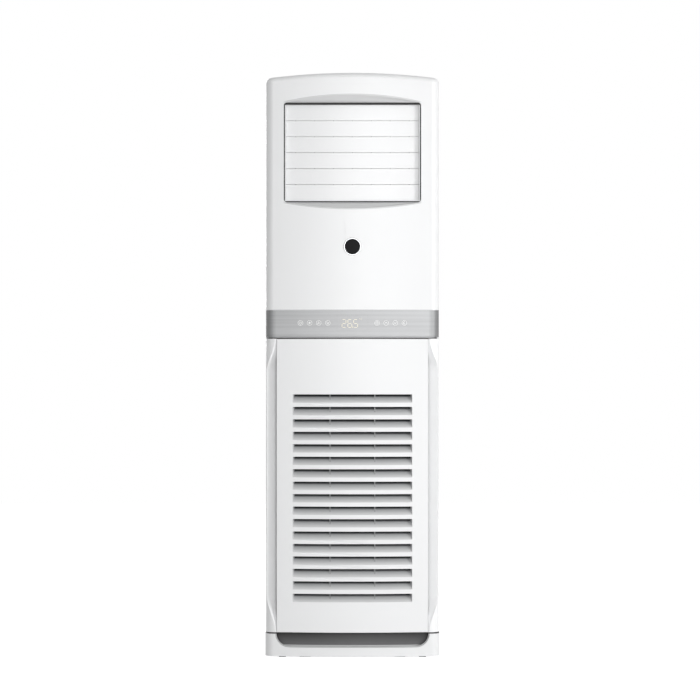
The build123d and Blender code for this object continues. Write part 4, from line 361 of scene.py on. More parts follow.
def plinth_white(colour, shadow):
    """Body white with painted shade in the kick recess, lighter towards its lower lip, and a
    painted shadow line at its head.
    """
    finish = grained("body_white_plinth")
    depth = finish.behind_front()
    front = finish.x.math("ABSOLUTE").below(RECESS_SIDE, 0.0005)
    recess = front * finish.y.below(RECESS_BACK, 0.001) * finish.z.above(RECESS_FOOT, 0.0004)
    # painted shade: a lighter grey on the lip's rounded rim
    rim = recess * depth.above(RECESS_RIM, 0.0006)
    inside = recess * depth.above(RECESS_INSIDE, 0.0030) * finish.z.above(RECESS_LIP, 0.0020)
    # painted shade: darkest at the top of the recess, lighter towards its foot
    rise = finish.z.above(0.034, 0.038)
    tone = finish.mix(rim, finish.drift(colour), shade(colour, 0.62))
    dark = finish.mix(rise, shade(shadow, 6.5), shade(shadow, 0.5))
    tone = finish.mix(inside, tone, dark)
    # painted shadow: the plinth's head, at the seam under the posts
    return finish.set(
        Base_Color=finish.mix(finish.z.above(PLINTH_HEAD, 0.0004), tone, shade(shadow, 0.4)),
        Specular_IOR_Level=SHADED_GLOSS,
    )


# Painted shadow lines: at the grip posts' foot over the plinth, and on the outlet frame's upper
# front rim
POST_FOOT = 0.0744
POST_GAP_PAINTED_SHADOW = (0.02, 0.02, 0.02)
OUTLET_HEAD, OUTLET_FRONT = 1.6535, -0.1300
OUTLET_RIM_PAINTED_SHADOW = (0.03, 0.03, 0.03)


def post_white(name, colour):
    """Body white of a grip post with a painted shadow line at the parting over the plinth."""
    finish = grained(name)
    foot = finish.z.below(POST_FOOT, 0.0004)
    return finish.set(Base_Color=finish.mix(foot, colour, POST_GAP_PAINTED_SHADOW))


def outlet_rim(colour):
    """Plastic of the outlet frame; its upper front rim has painted shadow as dark as the gasket.
    """
    finish = plain("outlet_frame_plastic", colour, 0.5, 0.12)
    rim = finish.z.above(OUTLET_HEAD, 0.0010) * finish.y.below(OUTLET_FRONT, 0.0010)
    return finish.set(Base_Color=finish.mix(rim, colour, OUTLET_RIM_PAINTED_SHADOW))


# Badge: its middle, and where its ring meets the panel, with a painted shadow line there
BADGE_HEIGHT = 1.229
BADGE_RIM = 0.0246
BADGE_GAP_PAINTED_SHADOW = (0.06, 0.06, 0.06)


def ring_chrome():
    """Chrome of the badge's ring with a painted shadow line where it meets the panel."""
    finish = bare_metal("badge_chrome", (0.62, 0.63, 0.64), 0.14)
    up = finish.z - BADGE_HEIGHT
    out = (finish.x * finish.x + up * up).math("SQRT")
    bright = finish.mix(finish.noise(30.0, 3.0), (0.58, 0.59, 0.60), (0.66, 0.67, 0.68))
    rim = out.above(BADGE_RIM, 0.0005)
    return finish.set(Base_Color=finish.mix(rim, bright, BADGE_GAP_PAINTED_SHADOW))


def badge_black():
    """Satin black disc that takes little of the bright room."""
    finish = moulded("badge_black", (0.003, 0.003, 0.0033), 0.30, 0.02)
    return finish.set(Specular_IOR_Level=0.06)


def surround_painted_shade(colour):
    """The sloping surround of the outlet: painted shade makes grey crescents that fade out at
    their ends, the lower one a little darker.
    """
    finish = grained("outlet_surround_painted_shade")
    middle = finish.x.math("ABSOLUTE").below(0.209, 0.010)
    upper = finish.z.above(1.5, 0.1)
    grey = finish.mix(upper, shade(colour, 0.74), shade(colour, 0.76))
    return finish.set(Base_Color=finish.mix(middle, shade(colour, 0.97), grey))


def ribbed_hose(colour):
    """Grey drain hose: rings round its run."""
    finish = plain("drain_hose_grey", colour, 0.5, 0.1)
    bands = {"wave_type": "BANDS", "bands_direction": "DIAGONAL"}
    inputs = {"Vector": finish.place, "Scale": 60.0}
    wave = finish.signal("ShaderNodeTexWave", bands, inputs, "Fac")
    return finish.set(Normal=finish.bump(wave, 0.6, 0.0012))


def circuit_green(name):
    """Solder-masked board with copper tracks under the mask."""
    finish = Finish(name)
    line = finish.cells(130.0).below(0.06, 0.02)
    return finish.set(
        Base_Color=finish.mix(line, (0.01, 0.09, 0.04), (0.03, 0.20, 0.08)),
        Roughness=0.35,
        Normal=finish.bump(line, 0.2, 0.0002),
    )


def foam_beads(colour):
    """Moulded bead foam: the outline of each bead shows as a fine net."""
    finish = Finish("bead_foam")
    bead = finish.cells(260.0).below(0.09, 0.09)
    return finish.set(
        Base_Color=finish.mix(bead, colour, shade(colour, 0.86)),
        Roughness=0.85,
        Normal=finish.bump(1 - bead, 0.35, 0.0005),
    )


def lit(name, colour, strength):
    """Mark that holds its tone in any light: on the lit digits the emission is their light, on the
    printed key marks it is a painted glow.
    """
    finish = Finish(name)
    return finish.set(
        Base_Color=finish.mix(finish.noise(900.0, 1.0), shade(colour, 0.97), colour),
        Roughness=0.45,
        Emission_Color=colour,
        Emission_Strength=strength,
    )


# ---------------- making pieces
MERGE_DISTANCE = 0.00001
SHARP_ANGLE = math.radians(38.0)
FRONT_SPREAD = 2.5  # degrees off the bow at which a face still counts as front
BLADE_SPREAD = 24.0  # the same for the outlet blades
FLAT = 0.9999  # a normal's largest part on a face that lies square
ROUND_BOW = 0.03  # most of a normal's sideways part on a face round the bow
LEAST_AREA = 0.00002  # smaller faces belong to the rounded edges


def add_object(name, data):
    """A new object in the scene: a mesh, a lamp or a camera."""
    thing = bpy.data.objects.new(name, data)
    bpy.context.scene.collection.objects.link(thing)
    return thing


def paint(piece, material):
    piece.data.materials.clear()
    piece.data.materials.append(material)


def seat(piece, body, slot, *nodes):
    """Puts a finished piece on its body and, where nodes are named, in their place."""
    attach(piece, body)
    if nodes:
        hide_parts(*nodes)
    return piece


def settle(piece):
    """Bakes the modifiers into the mesh and removes them."""
    graph = bpy.context.evaluated_depsgraph_get()
    mesh = bpy.data.meshes.new_from_object(piece.evaluated_get(graph), depsgraph=graph)
    piece.modifiers.clear()
    piece.data = mesh
    mesh.name = piece.name
    return piece


def merged(mesh):
    """The mesh as a bmesh whose faces share their corners."""
    shape = bmesh.new()
    shape.from_mesh(mesh)
    bmesh.ops.remove_doubles(shape, verts=shape.verts, dist=MERGE_DISTANCE)
    return shape


def rounded_copy(name, node, width, segments, spread):
    """Merged copy of a CAD node, its sharp edges rounded by width and its curves smooth."""
    mesh = NODES[node].data.copy()
    mesh.materials.clear()
    shape = merged(mesh)
    shape.to_mesh(mesh)
    shape.free()
    piece = add_object(name, mesh)
    mesh.shade_smooth()
    mesh.set_sharp_from_angle(angle=SHARP_ANGLE)
    if width:
        bevel = piece.modifiers.new("edges", "BEVEL")
        bevel.width = width
        bevel.segments = segments
        bevel.limit_method = "ANGLE"
        bevel.angle_limit = SHARP_ANGLE
        bevel.harden_normals = True
        bevel.miter_outer = "MITER_ARC"
        weighted = piece.modifiers.new("flat_faces", "WEIGHTED_NORMAL")
        weighted.keep_sharp = True
        weighted.weight = 100
        settle(piece)
    follow_bow(piece.data, math.cos(math.radians(spread)))
    return piece


def from_bow(place):
    """Level direction from the bow's middle to a place."""
    return Vector((place.x, place.y - BOW_CENTRE_Y, 0.0)).normalized()


def follow_bow(mesh, straight):
    """Turns the normals of flat faces and of surfaces round the bow to their true direction.

    Faces whose normals lie nearer to the bow's than the cosine straight take the bow's own.
    """
    normals = [corner.vector.copy() for corner in mesh.corner_normals]
    for face in mesh.polygons:
        out = from_bow(face.center)
        outward, sideways = face.normal.dot(out), face.normal.x * out.y - face.normal.y * out.x
        rise = face.normal.z
        if outward > straight:
            outward, rise = 1.0, 0.0
        elif max(map(abs, face.normal)) > FLAT:
            for corner in face.loop_indices:
                normals[corner] = face.normal.copy()
            continue
        elif abs(sideways) > ROUND_BOW or face.area < LEAST_AREA:
            continue
        for corner in face.loop_indices:
            out = from_bow(mesh.vertices[mesh.loops[corner].vertex_index].co)
            normals[corner] = (out * outward + Vector((0.0, 0.0, rise))).normalized()
    mesh.normals_split_custom_set(normals)


class Grower:
    """A geometry node tree built in the script, with a named input for each size."""

    def __init__(self, name, **sizes):
        self.tree = bpy.data.node_groups.new(name, "GeometryNodeTree")
        self.sizes = sizes
        sockets = self.tree.interface
        sockets.new_socket("Geometry", in_out="INPUT", socket_type="NodeSocketGeometry")
        for label, value in sizes.items():
            kind = "NodeSocketInt" if isinstance(value, int) else "NodeSocketFloat"
            sockets.new_socket(label, in_out="INPUT", socket_type=kind)
        sockets.new_socket("Geometry", in_out="OUTPUT", socket_type="NodeSocketGeometry")
        self.start = self.tree.nodes.new("NodeGroupInput")
        self.end = self.tree.nodes.new("NodeGroupOutput")

    def size(self, label):
        return self.start.outputs[label]

    def node(self, kind, settings=None, inputs=None):
        """Makes a node and returns its first output."""
        return add_node(self.tree, kind, settings, inputs).outputs[0]

    def vector(self, x=0.0, y=0.0, z=0.0):
        return self.node("ShaderNodeCombineXYZ", inputs={0: x, 1: y, 2: z})

    def times(self, first, second):
        return self.node("ShaderNodeMath", {"operation": "MULTIPLY"}, {0: first, 1: second})

    def box(self, *sides):
        """A box with these three sides."""
        return self.node("GeometryNodeMeshCube", inputs={"Size": self.vector(*sides)})

    def moved(self, geometry, place, turn=(0, 0, 0)):
        inputs = {"Geometry": geometry, "Translation": place, "Rotation": turn}
        return self.node("GeometryNodeTransform", inputs=inputs)

    def row(self, count, step, start, shape, turn=(0, 0, 0)):
        """Copies of shape from start, one every step."""
        inputs = {"Count": count, "Start Location": start, "Offset": step}
        line = self.node("GeometryNodeMeshLine", {"mode": "OFFSET"}, inputs)
        return self.copies(line, shape, turn)

    def copies(self, points, shape, turn=(0, 0, 0)):
        """A copy of shape on every point."""
        inputs = {"Points": points, "Instance": shape, "Rotation": turn}
        return self.node("GeometryNodeInstanceOnPoints", inputs=inputs)

    def join(self, *parts):
        node = self.tree.nodes.new("GeometryNodeJoinGeometry")
        for part in parts:
            self.tree.links.new(part, node.inputs[0])
        return node.outputs[0]

    def painted(self, geometry, material):
        solid = self.node("GeometryNodeRealizeInstances", inputs={0: geometry})
        inputs = {"Geometry": solid, "Material": material}
        return self.node("GeometryNodeSetMaterial", inputs=inputs)

    def grow(self, name, geometry, base=None):
        """Runs the tree and returns its result as a plain mesh object."""
        self.tree.links.new(geometry, self.end.inputs[0])
        piece = add_object(name, base or bpy.data.meshes.new(name))
        modifier = piece.modifiers.new("grow", "NODES")
        modifier.node_group = self.tree
        for socket in self.tree.interface.items_tree:
            if socket.in_out == "INPUT" and socket.name in self.sizes:
                modifier[socket.identifier] = self.sizes[socket.name]
        return settle(piece)


def direction(degrees):
    """Unit step in x and z, anticlockwise from the right as seen from the front."""
    return Vector((math.cos(math.radians(degrees)), math.sin(math.radians(degrees))))


class Drawing:
    """Flat marks that lie on the bowed front, drawn in x and z."""

    LIFT = 0.00012
    THICK = 0.0001

    def __init__(self, x, z):
        self.shape = bmesh.new()
        self.at(x, z)

    def at(self, x, z):
        """Sets the place, in metres, that the marks' millimetres are measured from."""
        self.origin = (x, z)

    def point(self, x, z):
        world_x = self.origin[0] + x * MM
        world_z = self.origin[1] + z * MM
        return (world_x, front_y(world_x) - self.LIFT, world_z)

    def behind(self, front):
        """The vertex on the skirt's rear edge."""
        return self.shape.verts.new(front.co + Vector((0, self.THICK, 0)))

    def fill(self, points):
        """A flat patch with a skirt back to the surface, points anticlockwise from the front."""
        front = [self.shape.verts.new(self.point(*place)) for place in points]
        back = [self.behind(vert) for vert in front]
        self.shape.faces.new(front)
        self.shape.faces.new(list(reversed(back)))
        for k in range(len(front)):
            self.shape.faces.new((front[k], front[k - 1], back[k - 1], back[k]))

    def bar(self, start, end, width):
        """A straight line of this width."""
        first, last = Vector(start), Vector(end)
        along = (last - first).normalized()
        side = Vector((-along.y, along.x)) * width / 2
        self.fill([first - side, last - side, last + side, first + side])

    def arc(self, radius, width, start=0.0, sweep=360.0, middle=(0, 0)):
        """A ring, or part of one, as one closed strip."""
        closed = abs(sweep) >= 360.0
        steps = max(6, int(abs(sweep) / 12))
        rails = []
        for k in range(steps if closed else steps + 1):
            ray = direction(start + sweep * k / steps)
            places = (Vector(middle) + ray * (radius + reach) for reach in (width / 2, -width / 2))
            out, into = (self.shape.verts.new(self.point(*place)) for place in places)
            rails.append((out, into, self.behind(into), self.behind(out)))
        following = rails[1:] + rails[:1] if closed else rails[1:]
        for rail, next_rail in zip(rails, following):
            for k in range(4):
                self.shape.faces.new((rail[k - 1], rail[k], next_rail[k], next_rail[k - 1]))
        if not closed:
            self.shape.faces.new(rails[0])
            self.shape.faces.new(rails[-1])

    def dot(self, radius, middle=(0, 0)):
        """A filled round spot."""
        rays = [direction(30 * k) * radius for k in range(12)]
        self.fill([Vector(middle) + ray for ray in rays])

    def finish(self, name):
        mesh = bpy.data.meshes.new(name)
        bmesh.ops.recalc_face_normals(self.shape, faces=self.shape.faces)
        self.shape.to_mesh(mesh)
        self.shape.free()
        return add_object(name, mesh)


# ---------------- sizes and colours
def length(name, description, default, least=0.0):
    return bpy.props.FloatProperty(
        name=name, description=description, default=default,
        min=least, unit="LENGTH", precision=5,
    )


def colour(name, description, default):
    return bpy.props.FloatVectorProperty(
        name=name, description=description, default=default,
        size=3, min=0.0, max=1.0, subtype="COLOR",
    )


def share(name, description, default):
    return bpy.props.FloatProperty(
        name=name, description=description, default=default,
        min=0.0, max=1.0, subtype="FACTOR",
    )


def lamp_power(name, description, default):
    return bpy.props.FloatProperty(name=name, description=description, default=default)


def count(name, description, default):
    return bpy.props.IntProperty(name=name, description=description, default=default, min=1)


class CabinetLook(bpy.types.PropertyGroup):
    """Colours and edges of the outside."""

    white: colour("White", "Colour of the mouldings and painted panels", (0.86, 0.865, 0.87))
    # painted shade: the colour that darkens the kick recess
    recess: colour("Recess", "Colour inside the kick recess", (0.020, 0.020, 0.0205))
    # painted shade: the colour the intake louvres darken to with depth
    louvre_shadow: colour(
        "Louvre shadow", "Colour at the root of the intake louvres", (0.30, 0.31, 0.32)
    )
    moulding_edge: length("Moulding edge", "Rounding of the plastic mouldings' edges", 0.0009)
    sheet_edge: length("Sheet edge", "Rounding of the folded steel edges", 0.0004)
    blade_edge: length("Blade edge", "Rounding of the outlet blades' edges", 0.0005)


class BandLook(bpy.types.PropertyGroup):
    """The brushed control band and what is printed on it."""

    silver: colour("Silver", "Colour of the brushed band", (0.41, 0.414, 0.42))
    hair_lines: share("Hair lines", "Contrast of the brushed lines", 0.5)
    mark: colour("Key marks", "Colour of the key rings and signs", (0.90, 0.90, 0.89))
    digit: colour("Digits", "Colour of the lit digits", (0.86, 0.81, 0.66))
    reading: bpy.props.StringProperty(
        name="Reading", description="Temperature shown", default="26.5"
    )
    digit_height: length("Digit height", "Height of a digit", 0.0235, 0.005)
    key_radius: length("Key radius", "Radius of a key's printed ring", 0.0074, 0.002)
    key_line: length("Key line", "Width of the printed lines", 0.0009, 0.0002)


class InsideLook(bpy.types.PropertyGroup):
    """Fine repeated parts behind the panels."""

    net_pitch: length("Net pitch", "Distance between two strands of the net", 0.0040, 0.001)
    net_strand: length("Net strand", "Width of a strand", 0.0007, 0.0001)
    fins: count("Fins", "Fins in the coil's pack", 252)
    fin_thickness: length("Fin thickness", "Thickness of one fin", 0.00025, 0.0001)
    foam: colour("Foam", "Colour of the duct's and the pan's foam", (0.80, 0.80, 0.78))
    copper: colour("Copper", "Colour of the copper tubes", (0.72, 0.36, 0.20))


class StudioLook(bpy.types.PropertyGroup):
    """Camera, lamps and floor."""

    distance: length("Camera distance", "From the camera to the middle", 8.0, 1.0)
    eye: length("Camera height", "Height of the camera over the floor", 0.851, 0.1)
    lens: bpy.props.FloatProperty(
        name="Lens", description="Focal length on a 36 mm sensor", default=134.85, unit="CAMERA"
    )
    key: lamp_power("Key light", "Power of the right front lamp", 137.0)
    front: lamp_power("Front light", "Power of the front lamp", 126.0)
    back: lamp_power("Back light", "Power of the rear lamp", 95.0)
    room: share("Room light", "Brightness of the room all round", 0.375)


GROUPS = {
    "cabinet_look": CabinetLook,
    "band_look": BandLook,
    "inside_look": InsideLook,
    "studio_look": StudioLook,
}


# ---------------- finishes
def finish_rows(scene):
    """What makes the finish of each kind, with the colours from the scene's properties."""
    white, shadow = scene.cabinet_look.white, scene.cabinet_look.louvre_shadow
    # bright: the right grip post's white, made lighter as painted light
    outlet, bright = shade(white, 0.97), shade(white, 1.09)
    band, inside = scene.band_look, scene.inside_look
    return {
        "white": (moulded, "body_white_moulded", white),
        "powder": (powder_coated, "cabinet_white_powder", white),
        "intake": (intake_white, white, shadow),
        "plinth": (plinth_white, white, scene.cabinet_look.recess),
        "blade": (moulded, "blade_satin_white", white, 0.30, 0.06),
        "outlet": (plain, "outlet_white_plastic", outlet, 0.5, 0.12),
        "outlet_frame": (outlet_rim, outlet),
        "band": (band_metal, band),
        "left_post": (post_white, "body_white_left_post", white),
        # painted light: the right post is a lighter white than the left
        "right_post": (post_white, "body_white_right_post", bright),
        "surround": (surround_painted_shade, white),
        # painted glow: the printed key marks emit a little light
        "mark": (lit, "printed_key_mark", band.mark, 0.12),
        "digit": (lit, "lit_digit", band.digit, 0.10),
        "chrome": (ring_chrome,),
        "badge": (badge_black,),
        "zinc": (bare_metal, "zinc_coated_steel", (0.43, 0.445, 0.46), 0.42, 0.14),
        "steel": (bare_metal, "bright_steel", (0.62, 0.62, 0.63), 0.26),
        "aluminium": (brushed, "fin_aluminium", (0.72, 0.73, 0.75), (40.0, 300.0, 300.0), 0.36),
        "copper": (bare_metal, "copper_tube", inside.copper, 0.30),
        "brass": (brushed, "turned_brass", (0.72, 0.52, 0.22), (60.0, 60.0, 700.0), 0.28),
        "rubber": (plain, "black_rubber", (0.018, 0.018, 0.018), 0.75, 0.3),
        "seal": (plain, "foam_seal", (0.012, 0.012, 0.012), 0.9, 0.5, 420.0),
        "vane": (plain, "dark_vane_plastic", (0.05, 0.052, 0.055), 0.5),
        "motor": (powder_coated, "motor_grey_paint", (0.085, 0.088, 0.095)),
        "grey": (plain, "blower_grey_plastic", (0.26, 0.27, 0.29), 0.5),
        "filter": (plain, "filter_frame_plastic", (0.035, 0.040, 0.050), 0.5),
        "net": (plain, "filter_net_strand", (0.020, 0.022, 0.026), 0.6, 0.1),
        "foam": (foam_beads, inside.foam),
        "hose": (ribbed_hose, (0.52, 0.53, 0.53)),
        "board": (circuit_green, "circuit_board_green"),
        "terminal": (plain, "terminal_cream", (0.72, 0.68, 0.55), 0.45),
    }


MADE = {}  # the finishes already made, by kind


def material(kind):
    """The finish of this kind, made the first time that a piece asks for it."""
    if kind not in MADE:
        make, *values = finish_rows(bpy.context.scene)[kind]
        MADE[kind] = make(*values).material
    return MADE[kind]


def dress(kind, *nodes):
    """Gives CAD nodes their finish."""
    for node in nodes:
        for slot in NODES[node].material_slots:
            slot.material = material(kind)


def renew(node, body, slot, kind, edge, segments=2, spread=FRONT_SPREAD):
    """Stands a copy with rounded edges in a CAD node's place."""
    piece = rounded_copy(node + "_finished", node, edge, segments, spread)
    paint(piece, material(kind))
    return seat(piece, body, slot, node)


# ---------------- signs of the keys
KEYS_Z = 1.001
KEY_FIRST = 0.0735  # from the middle to the nearest key on either side
KEY_PITCH = 0.0273
KEYS_RIGHT = [KEY_FIRST + KEY_PITCH * k for k in range(4)]
KEY_PLACES = [-x for x in reversed(KEYS_RIGHT)] + KEYS_RIGHT
SIGN_SHARE = 0.52  # of the ring's radius

# From left to right, in shares of the sign's size: arcs with their radius, start, sweep and
# middle, and bars from end to end. The dot's radius is a share of the line's width.
KEY_SIGNS = {
    "power": {"arcs": [(1, 125, 290)], "bars": [((0, 0), (0, 1.1))]},
    "cooling": {
        "bars": [(direction(turn) * -1.1, direction(turn) * 1.1) for turn in (90, 30, -30)]
    },
    "fan": {
        "dot": 0.9,
        "arcs": [(0.42, turn - 60, 240, direction(turn) * 0.62) for turn in (90, 210, 330)],
    },
    "sweep": {"bars": [((k * 0.35, -1), (k * 1.05, 0.9)) for k in (-1, 0, 1)]},
    "timer": {"arcs": [(1, 0, 360)], "bars": [((0, 0), (0, 0.7)), ((0, 0), (0.55, 0))]},
    "warmer": {"bars": [((side, -0.45), (0, 0.6)) for side in (-1, 1)]},
    "cooler": {"bars": [((side, 0.45), (0, -0.6)) for side in (-1, 1)]},
    "night": {"arcs": [(1, 70, 220), (0.78, 95, 170, (0.42, 0.28))]},
}


# ---------------- outside pieces
BADGE_EDGE = 0.0004


class MakeTopCover(bpy.types.Operator):
    """Crowned top cover with softened edges"""

    bl_idname = "aircon.top_cover"
    bl_label = "Top cover"

    def execute(self, context):
        look = context.scene.cabinet_look
        renew("top_cover", "cabinet", "white_moulding", "white", look.moulding_edge)
        return {"FINISHED"}


class MakeSteelCabinet(bpy.types.Operator):
    """Folded side and rear panels, base pan, wall bracket, feet and pipe grommet"""

    bl_idname = "aircon.steel_cabinet"
    bl_label = "Steel cabinet"

    def execute(self, context):
        look = context.scene.cabinet_look
        for node in ("left_side_panel", "right_side_panel", "rear_panel"):
            renew(node, "cabinet", "white_steel", "powder", look.sheet_edge)
        dress("zinc", "base_pan", "wall_bracket")
        dress("rubber", "rubber_feet", "pipe_grommet")
        return {"FINISHED"}


class MakePlinth(bpy.types.Operator):
    """Moulded plinth with its dark kick recess"""

    bl_idname = "aircon.plinth"
    bl_label = "Plinth"

    def execute(self, context):
        look = context.scene.cabinet_look
        renew("base_plinth", "cabinet", "plinth_plastic", "plinth", look.moulding_edge)
        return {"FINISHED"}


class MakeIntakePanel(bpy.types.Operator):
    """Swinging intake panel with its louvres"""

    bl_idname = "aircon.intake_panel"
    bl_label = "Intake panel"

    def execute(self, context):
        look = context.scene.cabinet_look
        renew("intake_panel", "intake_panel", "white_moulding", "intake", look.sheet_edge)
        return {"FINISHED"}


class MakeGripPosts(bpy.types.Operator):
    """Corner posts with the finger scoops beside the intake panel"""

    bl_idname = "aircon.grip_posts"
    bl_label = "Grip posts"

    def execute(self, context):
        look = context.scene.cabinet_look
        for side in ("left", "right"):
            edge = look.moulding_edge
            renew(side + "_grip_post", "cabinet", "white_moulding", side + "_post", edge)
        return {"FINISHED"}


class MakeUpperFront(bpy.types.Operator):
    """Upper front panel and the recessed surround of the outlet"""

    bl_idname = "aircon.upper_front"
    bl_label = "Upper front"

    def execute(self, context):
        look = context.scene.cabinet_look
        renew("upper_front_panel", "cabinet", "white_moulding", "white", look.sheet_edge)
        renew("outlet_surround", "cabinet", "white_moulding", "surround", 0.0)
        dress("seal", "outlet_gasket")
        return {"FINISHED"}


class MakeBadge(bpy.types.Operator):
    """Plain round badge: polished ring and a bare dark disc"""

    bl_idname = "aircon.badge"
    bl_label = "Badge"

    def execute(self, context):
        renew("badge_ring", "cabinet", "bright_metal", "chrome", BADGE_EDGE, segments=3)
        renew("badge_disc", "cabinet", "badge_face", "badge", BADGE_EDGE, segments=3)
        return {"FINISHED"}


# ---------------- control band
SEGMENT_PLACES = {
    "a": ((0.0, 1.0), (1.0, 1.0)),
    "b": ((1.0, 1.0), (1.0, 0.5)),
    "c": ((1.0, 0.5), (1.0, 0.0)),
    "d": ((0.0, 0.0), (1.0, 0.0)),
    "e": ((0.0, 0.5), (0.0, 0.0)),
    "f": ((0.0, 1.0), (0.0, 0.5)),
    "g": ((0.0, 0.5), (1.0, 0.5)),
}
LIT_SEGMENTS = {
    "0": "abcdef", "1": "bc", "2": "abged", "3": "abgcd", "4": "fgbc",
    "5": "afgcd", "6": "afgedc", "7": "abc", "8": "abcdefg", "9": "abcdfg",
}
DIGITS_LEFT = -0.031
DIGITS_BOTTOM = 0.9875
DIGIT_WIDTH = 0.50  # of the digit's height
DIGIT_LINE = 0.085  # of the digit's height
DIGIT_STEP = 1.48  # of the digit's width
SEGMENT_GAP = 0.75  # of the line's width


def put_on_band(drawing, name, kind):
    """Makes the drawing a piece of its own in the band's inlays."""
    piece = drawing.finish(name)
    paint(piece, material(kind))
    seat(piece, "cabinet", "key_inlay")


class MakeControlBand(bpy.types.Operator):
    """Brushed band with its window, key inlays and the board behind"""

    bl_idname = "aircon.control_band"
    bl_label = "Control band"

    def execute(self, context):
        look = context.scene.cabinet_look
        renew("control_fascia", "cabinet", "silver_band", "band", look.sheet_edge)
        dress("band", "display_window", "touch_keys")
        dress("board", "display_board")
        return {"FINISHED"}


class MakeDigits(bpy.types.Operator):
    """Lit seven-segment temperature with its degree mark"""

    bl_idname = "aircon.digits"
    bl_label = "Temperature digits"

    def execute(self, context):
        look = context.scene.band_look
        tall = look.digit_height / MM
        wide = tall * DIGIT_WIDTH
        line = tall * DIGIT_LINE
        gap = line * SEGMENT_GAP
        drawing = Drawing(DIGITS_LEFT, DIGITS_BOTTOM)
        left = 0.0
        for sign in look.reading:
            if sign == ".":
                drawing.dot(line * 0.95, (left - wide * 0.25, line * 0.4))
                continue
            for segment in LIT_SEGMENTS[sign]:
                start, end = (
                    Vector((x * wide + left, z * tall)) for x, z in SEGMENT_PLACES[segment]
                )
                inward = (end - start).normalized() * gap
                drawing.bar(start + inward, end - inward, line)
            left += wide * DIGIT_STEP
        # the degree mark and its letter
        drawing.at(DIGITS_LEFT + (left + 1.0) * MM, DIGITS_BOTTOM + (tall + 2.5) * MM)
        drawing.arc(1.3, 0.6)
        drawing.arc(2.2, 0.6, 50.0, 260.0, (5.2, -1.2))
        put_on_band(drawing, "temperature_digits", "digit")
        return {"FINISHED"}


class MakeKeySigns(bpy.types.Operator):
    """Printed ring and sign of each touch key"""

    bl_idname = "aircon.key_signs"
    bl_label = "Key signs"

    def execute(self, context):
        look = context.scene.band_look
        radius, line = look.key_radius / MM, look.key_line / MM
        size = radius * SIGN_SHARE
        for x, (name, strokes) in zip(KEY_PLACES, KEY_SIGNS.items()):
            drawing = Drawing(x, KEYS_Z)
            drawing.arc(radius, line)
            if "dot" in strokes:
                drawing.dot(line * strokes["dot"])
            for reach, start, sweep, *middle in strokes.get("arcs", []):
                middle = Vector(middle[0]) * size if middle else (0, 0)
                drawing.arc(reach * size, line, start, sweep, middle)
            for start, end in strokes.get("bars", []):
                drawing.bar(Vector(start) * size, Vector(end) * size, line)
            put_on_band(drawing, "key_sign_" + name, "mark")
        return {"FINISHED"}


# ---------------- outlet
class MakeOutletBlades(bpy.types.Operator):
    """Six closing blades, each on its own body, and their tie bar"""

    bl_idname = "aircon.outlet_blades"
    bl_label = "Outlet blades"

    def execute(self, context):
        look = context.scene.cabinet_look
        for k in range(1, 7):
            renew(
                f"louvre_blade_{k}", f"blade_{k}", "blade_white", "blade", look.blade_edge,
                spread=BLADE_SPREAD,
            )
        dress("outlet", "blade_tie_bar")
        return {"FINISHED"}


class MakeOutletInside(bpy.types.Operator):
    """Frame, upright vanes, motors and foam duct behind the blades"""

    bl_idname = "aircon.outlet_inside"
    bl_label = "Outlet inside"

    def execute(self, context):
        dress("outlet_frame", "outlet_frame")
        dress("outlet", "vane_tie_bar")
        dress("vane", *[f"air_vane_{k}" for k in range(1, 8)])
        dress("motor", "blade_motor", "vane_motor")
        dress("foam", "outlet_duct")
        return {"FINISHED"}


# ---------------- air path
class MakeFilter(bpy.types.Operator):
    """Filter frame and its woven net, which lift out of the intake panel"""

    bl_idname = "aircon.filter"
    bl_label = "Filter"

    def execute(self, context):
        look = context.scene.inside_look
        dress("filter", "filter_frame")
        low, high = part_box("filter_mesh")
        wide, tall = high.x - low.x, high.z - low.z
        upright = int(wide / look.net_pitch)
        level = int(tall / look.net_pitch)
        tree = Grower(
            "filter_net_weave",
            Upright=upright, Level=level, Pitch=look.net_pitch, Strand=look.net_strand,
            Width=wide, Height=tall,
        )
        strand = tree.size("Strand")
        pitch = tree.size("Pitch")
        post = tree.box(strand, strand, tree.size("Height"))
        rail = tree.box(tree.size("Width"), strand, strand)
        middle = (low + high) / 2
        first_post = tree.vector(low.x + look.net_pitch / 2, middle.y, middle.z)
        first_rail = tree.vector(middle.x, middle.y, low.z + look.net_pitch / 2)
        posts = tree.row(tree.size("Upright"), tree.vector(x=pitch), first_post, post)
        rails = tree.row(tree.size("Level"), tree.vector(z=pitch), first_rail, rail)
        net = tree.grow("filter_net", tree.painted(tree.join(posts, rails), material("net")))
        seat(net, "filter", "filter_net", "filter_mesh")
        return {"FINISHED"}


class MakeBlower(bpy.types.Operator):
    """Scroll, bell mouth, wheel, shaft, motor and deck"""

    bl_idname = "aircon.blower"
    bl_label = "Blower"

    def execute(self, context):
        dress("grey", "scroll_housing", "bell_mouth", "blower_wheel")
        dress("steel", "blower_shaft")
        dress("motor", "fan_motor")
        dress("zinc", "motor_bracket", "blower_deck")
        return {"FINISHED"}


COIL_FOOT = Vector((0.0, -0.076, 0.892))  # middle of the fin pack's lower end
COIL_TILT = math.radians(25.0)
COIL_LENGTH = 0.455
COIL_THICKNESS = 0.044
COIL_HALF_WIDTH = 0.218


